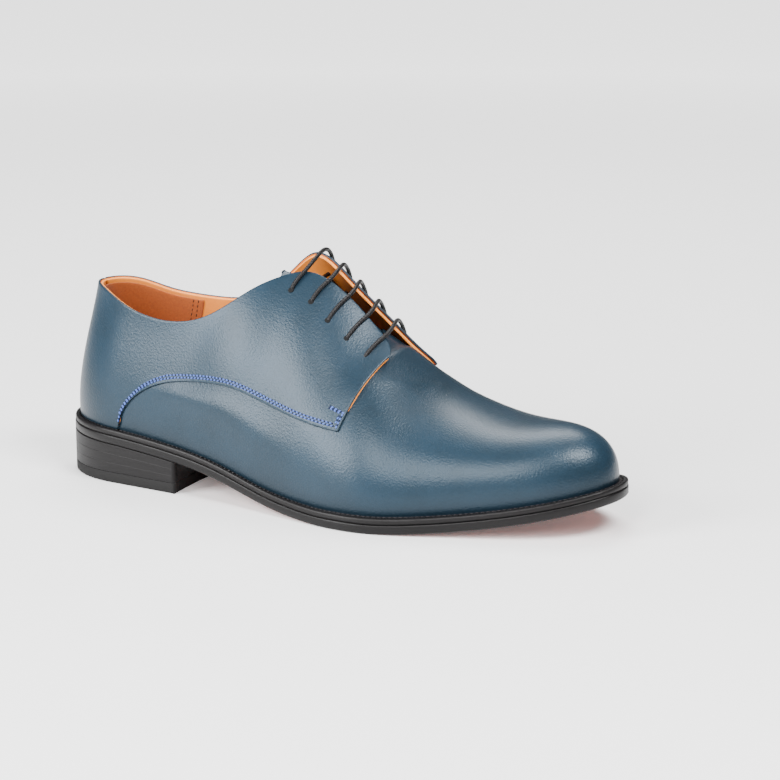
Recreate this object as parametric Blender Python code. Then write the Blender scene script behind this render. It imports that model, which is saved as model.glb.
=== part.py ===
"""Derby shoe for the right foot, standing empty on its sole.

Metres, +Z up, toe towards +X, lateral side towards -Y, medial side towards +Y.
The last is worked out from the sizes and tables below: the sole's outline gives the feather
line, where the upper leaves the welt, and each wall section rises from it in one smooth curve,
to the crest of the last for the vamp and to the collar or facing for the quarters.
"""
import bmesh
import bpy
import numpy as np

# Main sizes of the shoe
shoe_length = 0.303
ball_width = 0.1035
instep_height = 0.112
heel_rise = 0.022
heel_length = 0.079
toe_spring = 0.017

# Sole, welt and heel
outsole_thickness = 0.0046
welt_thickness = 0.0028
ledge_heel = 0.0040
ledge_waist = 0.0028
ledge_fore = 0.0045
edge_chamfer = 0.0008
welt_set_in = 0.0003
top_piece_thickness = 0.0055
lift_count = 3
lift_groove = 0.0003
breast_hollow = 0.0025
heel_round = 0.038
toe_round = 0.092

# Upper, tongue and insole
vamp_wall = 0.0020
quarter_step = 0.0012
quarter_lining = 0.0010
tongue_lap = 0.009
insole_thickness = 0.0040
tongue_thickness = 0.0024
tongue_half_width = 0.025
tongue_round = 0.012
collar_setback = 0.0145
collar_round = 0.040

# Lacing
eyelet_count = 5
eyelet_diameter = 0.0042
eyelet_setback_top = 0.0100
eyelet_setback_front = 0.0180
lace_diameter = 0.0021
lace_bow = 0.0006
lace_lift = 0.0009

# Air between pieces that meet
fit_gap = 0.0003

LATERAL = -1
MEDIAL = 1


def columns(names, rows):
    """Table with named columns, one row for each section."""
    return dict(zip(names.split(), np.array(rows, float).T))


# Powers of the rounded ends: above 2 is squarer than an ellipse
HEEL_POWER = 2.15
TOE_POWER = 2.05
COLLAR_POWER = 2.0
# Half width of the sole on each side of the long axis, as shares of the ball width
OUTLINE = columns("station lateral medial", [
    (0.00, 0.306, 0.316),
    (0.11, 0.338, 0.328),
    (0.23, 0.373, 0.322),
    (0.38, 0.426, 0.289),
    (0.52, 0.522, 0.338),
    (0.64, 0.561, 0.437),
    (0.73, 0.493, 0.497),
    (0.82, 0.440, 0.497),
    (0.90, 0.423, 0.480),
    (1.00, 0.409, 0.459),
])
# Underside of the sole behind its flat spot, as shares of the heel's rise
ARCH = columns("station height", [
    (0.00, 1.00),
    (0.22, 0.80),
    (0.34, 0.53),
    (0.44, 0.18),
    (0.52, 0.03),
])
FLAT = (0.57, 0.64)
SPRING_POWER = 1.75
# Width of the ledge beside the upper
LEDGE = columns("station width", [
    (0.00, ledge_heel),
    (0.15, ledge_heel),
    (0.38, ledge_waist),
    (0.60, ledge_fore),
    (1.00, ledge_fore),
])
# Edge of the outsole: share of its thickness and how far it is set in
SOLE_EDGE = columns("share inset", [
    (0.00, edge_chamfer),
    (0.20, 0),
    (0.85, 0),
    (1.00, welt_set_in),
])
# Lean of the wall above the welt in degrees, and how far it holds it, share of instep height
WALL = columns("station lean hold", [
    (0.00, 4, 0.21),
    (0.12, 5, 0.20),
    (0.28, 6, 0.22),
    (0.42, 6, 0.30),
    (0.55, 8, 0.30),
    (0.68, 10, 0.26),
    (0.80, 11, 0.23),
    (0.90, 7, 0.19),
    (1.00, 0, 0.16),
])
# Crest of the last: height by instep height, shift to the medial side by ball width,
# and pull of the section's top by the section's chord
CREST = columns("station height shift pull", [
    (0.38, 1.045, 0.020, 0.34),
    (0.46, 0.955, 0.030, 0.34),
    (0.52, 0.855, 0.040, 0.35),
    (0.58, 0.740, 0.050, 0.36),
    (0.64, 0.630, 0.058, 0.37),
    (0.70, 0.530, 0.058, 0.38),
    (0.75, 0.474, 0.050, 0.42),
    (0.80, 0.442, 0.036, 0.45),
    (0.87, 0.438, 0.016, 0.51),
])
# Collar and facing edge of each quarter: height by instep height, distance from the long
# axis by ball width, and slope of the leather there in degrees
EDGE_LATERAL = columns("station height aside slope", [
    (0.048, 0.872, 0.225, 80),
    (0.085, 0.858, 0.226, 80),
    (0.125, 0.822, 0.238, 80),
    (0.190, 0.768, 0.250, 80),
    (0.250, 0.760, 0.258, 78),
    (0.300, 0.793, 0.256, 74),
    (0.345, 0.862, 0.232, 64),
    (0.385, 0.935, 0.178, 54),
    (0.425, 0.982, 0.115, 48),
    (0.465, 0.996, 0.082, 45),
    (0.500, 0.962, 0.076, 43),
    (0.545, 0.872, 0.074, 40),
    (0.585, 0.770, 0.078, 36),
    (0.620, 0.685, 0.090, 32),
    (0.680, 0.560, 0.110, 26),
])
EDGE_MEDIAL = columns("station height aside slope", [
    (0.048, 0.872, 0.225, 80),
    (0.085, 0.856, 0.234, 80),
    (0.125, 0.815, 0.244, 80),
    (0.190, 0.790, 0.246, 80),
    (0.250, 0.789, 0.244, 78),
    (0.300, 0.815, 0.240, 74),
    (0.345, 0.885, 0.232, 66),
    (0.385, 0.975, 0.205, 54),
    (0.425, 1.042, 0.158, 50),
    (0.465, 1.020, 0.122, 46),
    (0.500, 0.945, 0.114, 43),
    (0.545, 0.842, 0.114, 40),
    (0.585, 0.754, 0.114, 36),
    (0.640, 0.638, 0.112, 30),
    (0.700, 0.548, 0.110, 24),
])
EDGES = {LATERAL: EDGE_LATERAL, MEDIAL: EDGE_MEDIAL}
EDGE_PULL = 0.30
# Lower seam of the quarters: share along it, station, and height up the wall section
SEAM = columns("share station rise", [
    (0.00, 0.138, 0.00),
    (0.08, 0.145, 0.12),
    (0.17, 0.170, 0.29),
    (0.28, 0.215, 0.435),
    (0.40, 0.270, 0.495),
    (0.55, 0.345, 0.465),
    (0.72, 0.435, 0.385),
    (0.86, 0.510, 0.365),
    (1.00, 0.580, 0.395),
])
# Front corner of the facing on each side: station of the corner and height up the section
FACING_FRONT = {LATERAL: (0.614, 0.915), MEDIAL: (0.634, 0.90)}
FACING_TURN = 0.022
ABOVE_SEAM = 0.175
COLLAR_END = 0.41
# Stations over which the vamp's top leaves the facings for the crest, and where it rounds
TOP_BLEND = (0.45, 0.53)
ROUND_BLEND = (0.53, 0.61)
THROAT = 0.585
TONGUE_TOP = 0.385
TONGUE_TAPER = 0.45
TONGUE_TAPER_OVER = (0.1, 0.8)
TONGUE_FLAT = 0.5
TONGUE_ROUNDING = 0.6
CREST_FROM = 0.66
# Stations of the first and the last eyelet, and the share of the row over which it leaves the edge
EYELET_RANGE = {LATERAL: (0.444, 0.583), MEDIAL: (0.452, 0.580)}
SETBACK_OVER = (0, 0.5)
# Part of each section, up to its top, that is searched for a spot at a distance below the top
SEARCHED = (0.4, 1.0)

# Mesh rows and columns
SOLE_ROWS = 46
HEEL_ROWS = 30
BACK_COLUMNS = 10
BACK_CROWDING = 1.2
FRONT_CROWDING = 1.5
SEAM_COLUMNS = 22
QUARTER_ROWS = 11
STRIP_ROWS = 5
THROAT_ROWS = 4
FRONT_COLUMNS = 17
FRONT_EASING = 0.9
TONGUE_ROWS = 15
TONGUE_COLUMNS = 7
TONGUE_CROWDING = 1.4
HEEL_COLUMNS = 5
BREAST_ROWS = 6
BREAST_POWER = 4
FINE_STEPS = 80
ROW_STEPS = 40
LACE_STOPS = 4
LACE_STEP = 2.2

LEATHER_BLUE = (0.050, 0.115, 0.160, 1.0)
LEATHER_BLACK = (0.012, 0.012, 0.013, 1.0)
LEATHER_TAN = (0.620, 0.300, 0.085, 1.0)
LEATHER_BROWN = (0.190, 0.050, 0.025, 1.0)
RUBBER_BLACK = (0.010, 0.010, 0.010, 1.0)
CORD_BLACK = (0.008, 0.008, 0.009, 1.0)


def smooth(knots, values, start=None, end=None):
    """Cubic spline through the knots, natural where no end slope is given."""
    knots = np.asarray(knots, float)
    values = np.asarray(values, float)
    count = len(knots)
    step = np.diff(knots)
    slope = np.diff(values) / step
    matrix = np.eye(count)
    right = np.zeros(count)
    for i in range(1, count - 1):
        matrix[i, i - 1:i + 2] = step[i - 1], 2 * (step[i - 1] + step[i]), step[i]
        right[i] = 6 * (slope[i] - slope[i - 1])
    if start is not None:
        matrix[0, :2] = 2 * step[0], step[0]
        right[0] = 6 * (slope[0] - start)
    if end is not None:
        matrix[-1, -2:] = step[-1], 2 * step[-1]
        right[-1] = 6 * (end - slope[-1])
    bend = np.linalg.solve(matrix, right)

    def at(x):
        x = np.clip(np.asarray(x, float), knots[0], knots[-1])
        i = np.clip(np.searchsorted(knots, x) - 1, 0, count - 2)
        after = knots[i + 1] - x
        before = x - knots[i]
        curve = (bend[i] * after**3 + bend[i + 1] * before**3) / (6 * step[i])
        left = (values[i] / step[i] - bend[i] * step[i] / 6) * after
        return curve + left + (values[i + 1] / step[i] - bend[i + 1] * step[i] / 6) * before
    return at


def ease(x, low, high):
    t = np.clip((np.asarray(x, float) - low) / (high - low), 0, 1)
    return t * t * (3 - 2 * t)


def round_end(distance, radius, power):
    """Share of the full width at a distance from a rounded end."""
    t = np.clip((radius - distance) / radius, 0, 1)
    return (1 - t**power)**(1 / power)


OUTLINE_AT = {
    LATERAL: smooth(OUTLINE["station"], OUTLINE["lateral"]),
    MEDIAL: smooth(OUTLINE["station"], OUTLINE["medial"]),
}
ARCH_AT = smooth(np.r_[ARCH["station"], FLAT[0]], np.r_[ARCH["height"], 0], end=0)
LEDGE_AT = smooth(LEDGE["station"], LEDGE["width"])
LEAN_AT = smooth(WALL["station"], WALL["lean"])
HOLD_AT = smooth(WALL["station"], WALL["hold"])
CREST_HEIGHT_AT = smooth(CREST["station"], CREST["height"])
CREST_SHIFT_AT = smooth(CREST["station"], CREST["shift"])
CREST_PULL_AT = smooth(CREST["station"], CREST["pull"])


def half_width(x, side):
    """Half width of the sole's outline at a distance from the back of the heel."""
    full = OUTLINE_AT[side](x / shoe_length) * ball_width
    heel = round_end(x, heel_round, HEEL_POWER)
    toe = round_end(shoe_length - x, toe_round, TOE_POWER)
    return full * heel * toe


def underside(x):
    """Height of the outsole's underside."""
    station = x / shoe_length
    arch = ARCH_AT(station) * heel_rise
    spring = toe_spring * np.clip((station - FLAT[1]) / (1 - FLAT[1]), 0, 1)**SPRING_POWER
    return np.where(station < FLAT[0], np.maximum(arch, 0), spring)


def welt_bottom(x):
    return underside(x) + outsole_thickness + fit_gap


def welt_top(x):
    return welt_bottom(x) + welt_thickness


def inset(loop, distance):
    """A closed loop, lateral side first from heel to toe, moved inwards."""
    along = np.roll(loop, -1, 0) - np.roll(loop, 1, 0)
    along /= np.linalg.norm(along, axis=1)[:, None]
    return loop + np.stack([-along[:, 1], along[:, 0]], 1) * np.reshape(distance, (-1, 1))


def sole_loop(rows):
    """Closed outline through the given rows: lateral to the toe, medial back to the heel."""
    lateral = np.stack([rows, -half_width(rows, LATERAL)], 1)
    medial = np.stack([rows, half_width(rows, MEDIAL)], 1)
    return np.vstack([lateral, medial[-2:0:-1]])


def sole_rows(count):
    """Rows along the sole, closer at both ends, with one at each end of the flat spot."""
    rows = shoe_length * (1 - np.cos(np.linspace(0, np.pi, count))) / 2
    for station in FLAT:
        rows[np.argmin(abs(rows - station * shoe_length))] = station * shoe_length
    return rows


def resample(line, shares):
    """Points at shares of a line's length."""
    run = np.r_[0, np.cumsum(np.linalg.norm(np.diff(line, axis=0), axis=1))]
    return np.stack([np.interp(shares, run / run[-1], line[:, k]) for k in range(line.shape[1])], 1)


def feather_lines(count=600):
    """Plan of the line where the upper leaves the welt, each side from heel to toe."""
    loop = sole_loop(shoe_length * (1 - np.cos(np.linspace(0, np.pi, count))) / 2)
    loop = inset(loop, LEDGE_AT(loop[:, 0] / shoe_length))
    loop[0, 1] = 0
    loop[count - 1, 1] = 0
    back = np.vstack([loop[:1], loop[count - 1:][::-1]])
    return {LATERAL: loop[:count], MEDIAL: back}


FEATHER = feather_lines()


def feather(side, share):
    """Foot of the wall at a share of the side's length."""
    plan = resample(FEATHER[side], share)
    return np.c_[plan, welt_top(plan[:, 0]) + fit_gap]


def crest_rate(x):
    """Rise of the crest for each metre along the shoe."""
    step = 0.001
    ahead = CREST_HEIGHT_AT(x / shoe_length + step)
    behind = CREST_HEIGHT_AT(x / shoe_length - step)
    return (ahead - behind) * instep_height / (2 * step * shoe_length)


def crest_point(foot):
    """End of a section on the crest of the last, and its pull."""
    reach = shoe_length - CREST_FROM * shoe_length
    length = (CREST["station"][-1] - CREST_FROM) * shoe_length
    t = np.clip((foot[:, 0] - CREST_FROM * shoe_length) / reach, 0, 1)
    ahead = CREST_FROM * shoe_length + length * (1 - (1 - t)**(reach / length))
    x = np.where(foot[:, 0] > CREST_FROM * shoe_length, ahead, foot[:, 0])
    station = x / shoe_length
    point = np.stack([x, CREST_SHIFT_AT(station) * ball_width,
                      CREST_HEIGHT_AT(station) * instep_height], 1)
    return point, CREST_PULL_AT(station)


def edge_point(side, foot):
    """End of a section on the collar or facing edge, and its slope."""
    edge = EDGES[side]
    back = FEATHER[side][0, 0]
    end = COLLAR_END * shoe_length
    x = collar_setback + (foot[:, 0] - back) * (end - collar_setback) / (end - back)
    x = np.where(foot[:, 0] > end, foot[:, 0], x)
    station = x / shoe_length
    start = edge["station"][0] * shoe_length
    across = smooth(edge["station"], edge["aside"])(station) * ball_width
    across = across * round_end(np.maximum(x - start, 0), collar_round, COLLAR_POWER)
    height = smooth(edge["station"], edge["height"], start=0)(station) * instep_height
    point = np.stack([x, side * across, height], 1)
    return point, np.radians(smooth(edge["station"], edge["slope"])(station))


def unit(vectors):
    return vectors / np.maximum(np.linalg.norm(vectors, axis=-1, keepdims=True), 1e-12)


def pulled(foot, top, slope, rate, pull):
    """Point that a section heads for before its top, where the leather has this slope."""
    across = unit(top[:, :2] - foot[:, :2])
    heading = np.c_[across * np.cos(slope)[:, None],
                    np.sin(slope) + rate * across[:, 0] * np.cos(slope)]
    chord = np.linalg.norm(top - foot, axis=1)
    return top - unit(heading) * (pull * chord)[:, None]


def section(side, share, rise, piece):
    """Points on the wall sections at shares of the side and heights up the section.

    The quarters' sections end on the collar or facing, the tongue's on the crest of the last,
    and the vamp's go over from one to the other, growing round over the crest."""
    share = np.asarray(share, float)
    rise = np.asarray(rise, float)
    foot = feather(side, share)
    station = foot[:, 0] / shoe_length
    to_crest = {"quarter": 0 * station, "vamp": ease(station, *TOP_BLEND), "tongue": 0 * station + 1}
    to_crest = to_crest[piece][:, None]
    rounding = ease(station, *ROUND_BLEND)
    least = {"quarter": 0, "vamp": rounding, "tongue": np.maximum(rounding, TONGUE_ROUNDING)}
    rounding = (least[piece] + 0 * station)[:, None]
    crest, pull = crest_point(foot)
    edge, slope = edge_point(side, foot)
    step = 0.001
    outward = unit(feather(side, np.clip(share + step, 0, 1))[:, :2]
                   - feather(side, np.clip(share - step, 0, 1))[:, :2])
    outward = np.stack([-outward[:, 1], outward[:, 0]], 1) * side
    outward[share <= 0] = (-1, 0)
    outward[share >= 1] = (1, 0)
    lean = np.radians(LEAN_AT(station))
    hold = HOLD_AT(station) * instep_height
    low = foot + np.c_[outward * (np.sin(lean) * hold)[:, None], np.cos(lean) * hold]
    rate = crest_rate(crest[:, 0])
    high = pulled(foot, edge, slope, 0 * rate, 0 * pull + EDGE_PULL)
    high = high + (pulled(foot, crest, 0 * slope, rate, pull) - high) * rounding
    top = edge + (crest - edge) * to_crest
    t = rise[..., None]
    if rise.ndim == 2:
        foot, low, high, top = (p[:, None] for p in (foot, low, high, top))
    return ((1 - t)**3 * foot + 3 * (1 - t)**2 * t * low
            + 3 * (1 - t) * t**2 * high + t**3 * top)


def wall(side, share, rise, piece):
    """Points and outward normals of a grid on the wall, share and rise being 2-D arrays."""
    flat = (share.ravel(), rise.ravel())
    step = 0.0005

    def at(more_share, more_rise):
        return section(side, np.clip(flat[0] + more_share, 0, 1),
                       np.clip(flat[1] + more_rise, 0, 1), piece)
    along = at(step, 0) - at(-step, 0)
    up = at(0, step) - at(0, -step)
    normal = np.cross(along, up) * (-side)
    end = (flat[0] <= 0) | (flat[0] >= 1)
    normal[end, 1] = 0
    normal[flat[1] <= 0, 2] = 0
    point = at(0, 0)
    if piece == "tongue" or (piece == "vamp" and share.min() > share_at(side, TOP_BLEND[1])):
        top = flat[1] >= 1
        rate = crest_rate(point[top, 0])
        normal[top] = np.stack([-rate, 0 * rate, 0 * rate + 1], 1)
    shape = share.shape + (3,)
    return point.reshape(shape), unit(normal).reshape(shape)


def seam_line(shares):
    """Share of the side and rise of the quarters' lower edge, from the heel's back."""
    station = smooth(SEAM["share"], SEAM["station"])(shares)
    return station, smooth(SEAM["share"], SEAM["rise"])(shares)


def share_at(side, station):
    """Share of the side where the foot of the wall has this station."""
    line = FEATHER[side]
    run = np.r_[0, np.cumsum(np.linalg.norm(np.diff(line, axis=0), axis=1))]
    return np.interp(np.asarray(station) * shoe_length, line[:, 0], run / run[-1])


def front_edge(side):
    """Quarter's front edge from its lower corner up to the facing: shares and rises."""
    station, rise = seam_line(np.array([1.0]))
    corner_station, corner_rise = FACING_FRONT[side]
    t = np.linspace(0, 1, QUARTER_ROWS)
    share = share_at(side, station) * (1 - t) + share_at(side, corner_station) * t
    return share, rise * (1 - t) + corner_rise * t


def quarter_grid(side):
    """Shares and rises over one quarter, from the heel's back to the front edge."""
    back = np.linspace(0, 1, BACK_COLUMNS, endpoint=False)**BACK_CROWDING
    station, rise = seam_line(np.linspace(0, 1, SEAM_COLUMNS))
    low_share = np.concatenate([back * share_at(side, SEAM["station"][0]),
                                share_at(side, station)])
    low_rise = np.concatenate([np.zeros(BACK_COLUMNS), rise])
    # The top edge ends in a corner that turns down to the front edge
    corner_station, corner_rise = FACING_FRONT[side]
    corner = share_at(side, corner_station)
    turn = share_at(side, corner_station - FACING_TURN)
    above_seam = share_at(side, ABOVE_SEAM)
    ahead = corner - (corner - above_seam) * np.linspace(1, 0, SEAM_COLUMNS)**FRONT_CROWDING
    top_share = np.concatenate([back * above_seam, ahead])
    bend = np.clip((top_share - turn) / (corner - turn), 0, 1)
    top_rise = 1 - (1 - corner_rise) * (1 - np.sqrt(1 - bend**2))
    t = np.linspace(0, 1, QUARTER_ROWS)[None, :]
    share = low_share[:, None] * (1 - t) + top_share[:, None] * t
    rise = low_rise[:, None] * (1 - t) + top_rise[:, None] * t
    return share, rise


def strip_grid(side):
    """Shares and rises over the vamp below the quarter's seam."""
    station, rise = seam_line(np.linspace(0, 1, SEAM_COLUMNS))
    share = np.repeat(share_at(side, station)[:, None], STRIP_ROWS, 1)
    return share, rise[:, None] * np.linspace(0, 1, STRIP_ROWS)[None, :]


def front_grid(side):
    """Shares and rises over the vamp in front of the quarter, welt to crest."""
    share, rise = front_edge(side)
    low = np.linspace(0, 1, STRIP_ROWS)[:-1]
    t = np.linspace(0, 1, THROAT_ROWS)[1:]
    throat = share_at(side, THROAT)
    rear_share = np.concatenate([0 * low + share[0], share, share[-1] + (throat - share[-1]) * t**2])
    rear_rise = np.concatenate([low * rise[0], rise, rise[-1] + (1 - rise[-1]) * t])
    even = np.linspace(0, 1, len(rear_rise))
    t = np.linspace(0, 1, FRONT_COLUMNS)[:, None]**FRONT_EASING
    share = rear_share[None, :] * (1 - t) + t
    return share, rear_rise[None, :] * (1 - t) + even[None, :] * t


def grid_faces(rows, columns_count):
    faces = []
    for i in range(rows - 1):
        for j in range(columns_count - 1):
            a = i * columns_count + j
            faces.append((a, a + columns_count, a + columns_count + 1, a + 1))
    return faces


def material(name, colour, roughness):
    made = bpy.data.materials.new(name)
    made.use_nodes = True
    shader = made.node_tree.nodes["Principled BSDF"]
    shader.inputs["Base Color"].default_value = colour
    shader.inputs["Roughness"].default_value = roughness
    shader.inputs["Metallic"].default_value = 0.0
    made.diffuse_color = colour
    return made


def make_object(name, points, faces, finish, smooth_angle=35):
    """Mesh object whose normals face outwards, sharp where it turns by more than the angle."""
    mesh = bpy.data.meshes.new(name)
    mesh.from_pydata([tuple(map(float, p)) for p in points], [], [tuple(f) for f in faces])
    work = bmesh.new()
    work.from_mesh(mesh)
    bmesh.ops.remove_doubles(work, verts=work.verts, dist=1e-6)
    bmesh.ops.recalc_face_normals(work, faces=work.faces)
    if work.calc_volume(signed=True) < 0:
        bmesh.ops.reverse_faces(work, faces=work.faces)
    work.to_mesh(mesh)
    work.free()
    mesh.shade_smooth()
    mesh.set_sharp_from_angle(angle=np.radians(smooth_angle))
    made = bpy.data.objects.new(name, mesh)
    bpy.context.scene.collection.objects.link(made)
    if finish is not None:
        mesh.materials.append(finish)
    return made


def as_cutter(made):
    made.hide_render = True
    made.display_type = "WIRE"
    return made


def ring(loops):
    """Closed ring from loops that run around its profile."""
    count = len(loops[0])
    points = np.vstack(loops)
    faces = []
    for k in range(len(loops)):
        after = (k + 1) % len(loops)
        for i in range(count):
            j = (i + 1) % count
            faces.append((k * count + i, k * count + j, after * count + j, after * count + i))
    return points, faces


def plate(levels):
    """Closed plate from grids of the same size, lowest first, joined round their border."""
    rows, across = levels[0].shape[:2]
    points = np.vstack([level.reshape(-1, 3) for level in levels])
    size = rows * across
    border = [i * across for i in range(rows)]
    border += [(rows - 1) * across + j for j in range(1, across)]
    border += [i * across + across - 1 for i in range(rows - 2, -1, -1)]
    border += [j for j in range(across - 2, 0, -1)]
    faces = [face[::-1] for face in grid_faces(rows, across)]
    last = (len(levels) - 1) * size
    faces += [tuple(k + last for k in face) for face in grid_faces(rows, across)]
    for level in range(len(levels) - 1):
        for a, b in zip(border, border[1:] + border[:1]):
            low = level * size
            faces.append((low + a, low + b, low + size + b, low + size + a))
    return points, faces


def sole_level(rows, distance, height):
    """Cross strips of the sole's outline, moved inwards, at a height given by x."""
    loop = inset(sole_loop(rows), distance)
    count = len(rows)
    loop[0, 1] = 0
    loop[count - 1, 1] = 0
    lateral = loop[:count]
    medial = np.vstack([loop[:1], loop[count - 1:][::-1]])
    grid = np.stack([lateral, medial], 1)
    return np.dstack([grid, height(grid[..., 0])])


def make_outsole():
    rows = sole_rows(SOLE_ROWS)
    levels = [sole_level(rows, distance, lambda x: underside(x) + share * outsole_thickness)
              for share, distance in zip(SOLE_EDGE["share"], SOLE_EDGE["inset"])]
    return make_object("outsole", *plate(levels), material("sole_leather", LEATHER_BROWN, 0.45))


def make_welt():
    rows = sole_rows(SOLE_ROWS)
    outline = sole_loop(rows)
    ledge = LEDGE_AT(outline[:, 0] / shoe_length)
    outer = inset(outline, welt_set_in)
    shoulder = inset(outline, welt_set_in + edge_chamfer)
    inner = inset(outline, ledge + vamp_wall + fit_gap)
    loops = [
        np.c_[outer, welt_bottom(outer[:, 0])],
        np.c_[outer, welt_top(outer[:, 0]) - edge_chamfer],
        np.c_[shoulder, welt_top(shoulder[:, 0])],
        np.c_[inner, welt_top(inner[:, 0])],
        np.c_[inner, welt_bottom(inner[:, 0])],
    ]
    return make_object("welt", *ring(loops), material("welt_leather", LEATHER_BLACK, 0.4))


def make_insole():
    rows = sole_rows(SOLE_ROWS)
    loop = sole_loop(rows)
    ledge = LEDGE_AT(loop[:, 0] / shoe_length)
    distance = ledge + vamp_wall + 3 * fit_gap
    levels = [sole_level(rows, distance, lambda x: welt_bottom(x) + share * insole_thickness)
              for share in (0.0, 1.0)]
    return make_object("insole", *plate(levels), material("insole_leather", LEATHER_TAN, 0.7))


def heel_level(distance, height):
    """Cross strips of the heel, whose breast is a little hollow."""
    rows = heel_length * (1 - np.cos(np.linspace(0, np.pi, HEEL_ROWS))) / 2
    half = HEEL_ROWS // 2
    rows = np.concatenate([rows[:half], np.linspace(rows[half], heel_length, BREAST_ROWS)])
    lateral = np.stack([rows, -half_width(rows, LATERAL)], 1)
    medial = np.stack([rows, half_width(rows, MEDIAL)], 1)
    loop = inset(np.vstack([lateral, medial[:0:-1]]), distance)
    lateral = loop[:len(rows)]
    medial = np.vstack([loop[:1], loop[len(rows):][::-1]])
    lateral[0, 1] = 0
    medial[0, 1] = 0
    lateral[-1, 0] = heel_length
    medial[-1, 0] = heel_length
    t = np.linspace(0, 1, HEEL_COLUMNS)[None, :, None]
    grid = lateral[:, None] * (1 - t) + medial[:, None] * t
    bow = 1 - (2 * t[..., 0] - 1)**2
    grid[..., 0] -= breast_hollow * bow * (grid[..., 0] / heel_length)**BREAST_POWER
    return np.dstack([grid, height(grid[..., 0])])


def make_heel():
    floor = top_piece_thickness + fit_gap

    def at(share):
        return lambda x: floor + share * (underside(x) - fit_gap - floor)
    levels = [heel_level(0.0, at(0))]
    for lift in range(1, lift_count):
        middle = lift / lift_count
        slit = lift_groove / heel_rise
        levels.append(heel_level(0.0, at(middle - slit)))
        levels.append(heel_level(lift_groove, at(middle)))
        levels.append(heel_level(0.0, at(middle + slit)))
    levels.append(heel_level(0.0, at(1)))
    stack = make_object("heel_stack", *plate(levels),
                        material("heel_leather", LEATHER_BLACK, 0.35), smooth_angle=20)
    tread = [
        heel_level(edge_chamfer / 2, lambda x: np.zeros_like(x)),
        heel_level(0.0, lambda x: np.full_like(x, edge_chamfer)),
        heel_level(0.0, lambda x: np.full_like(x, top_piece_thickness)),
    ]
    piece = make_object("heel_top_piece", *plate(tread),
                        material("heel_rubber", RUBBER_BLACK, 0.55))
    return stack, piece


def upper_patches():
    """Grids of the upper: piece, outer and inner offset, side, shares and rises."""
    patches = []
    for side in (LATERAL, MEDIAL):
        patches.append(("quarter", quarter_step, -quarter_lining, side, *quarter_grid(side)))
        patches.append(("vamp", 0.0, -vamp_wall, side, *strip_grid(side)))
        patches.append(("vamp", 0.0, -vamp_wall, side, *front_grid(side)))
    return patches


def upper_solid():
    """One hollow wall: the quarters stand a step above the vamp where they meet.

    A spot of the wall has one inner point and an outer point for each piece that it is on,
    and on the seam both pieces take their place from the quarter."""
    gathered = {}
    faces = {"quarter": [], "vamp": []}
    for piece, outer, inner, side, share, rise in upper_patches():
        point, normal = wall(side, share, rise, piece)
        last = share.shape[1] - 1
        spots = {}
        for (i, j), here in np.ndenumerate(share):
            middle = here <= 0 or here >= 1
            spot = (0 if middle else side, round(here, 7), round(rise[i, j], 7))
            if piece == "vamp" and j == last and rise[i, j] >= 1:
                spot = ("crest", i)
            spots[i, j] = spot
            gathered.setdefault((piece, spot), []).append((point[i, j], normal[i, j], outer, inner))
        for i in range(share.shape[0] - 1):
            for j in range(last):
                loop = [spots[i, j], spots[i + 1, j], spots[i + 1, j + 1], spots[i, j + 1]]
                loop = [a for k, a in enumerate(loop) if a != loop[k - 1]]
                if len(loop) > 2:
                    faces[piece].append(loop if side == LATERAL else loop[::-1])
    points = []
    outside = {}
    inside = {}
    for (piece, spot), found in gathered.items():
        middle = np.mean([f[0] for f in gathered.get(("quarter", spot), found)], 0)
        normal = unit(np.sum([f[1] for f in found], 0))
        outside[piece, spot] = len(points)
        points.append(middle + normal * found[0][2])
        if spot not in inside or piece == "vamp":
            inside[spot] = len(points)
            points.append(middle + normal * found[0][3])
    solid = []
    rims = {}
    for piece in faces:
        for loop in faces[piece]:
            solid.append([outside[piece, spot] for spot in loop])
            solid.append([inside[spot] for spot in reversed(loop)])
            for pair in zip(loop, loop[1:] + loop[:1]):
                rims[piece, pair] = True
    ends = {}
    for piece, (a, b) in rims:
        if (piece, (b, a)) in rims:
            continue
        other = "vamp" if piece == "quarter" else "quarter"
        if (other, (b, a)) not in rims:
            solid.append([outside[piece, b], outside[piece, a], inside[a], inside[b]])
        elif piece == "quarter":
            solid.append([outside[piece, b], outside[piece, a], outside[other, a], outside[other, b]])
            for spot in (a, b):
                ends[spot] = ends.get(spot, 0) + 1
    # Each end of the step between vamp and quarter is closed by one triangle
    for spot, count in ends.items():
        if count == 1:
            solid.append([outside["quarter", spot], outside["vamp", spot], inside[spot]])
    return points, solid


def rise_below_top(side, shares, distance, piece):
    """Rise of the spot at a distance down each section from its top."""
    rises = np.linspace(*SEARCHED, FINE_STEPS)
    points = section(side, shares, np.tile(rises, (len(shares), 1)), piece)
    run = np.linalg.norm(np.diff(points, axis=1), axis=2)
    left = np.c_[np.cumsum(run[:, ::-1], axis=1)[:, ::-1], np.zeros(len(shares))]
    return np.array([np.interp(-there, -below, rises) for there, below in zip(distance, left)])


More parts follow.
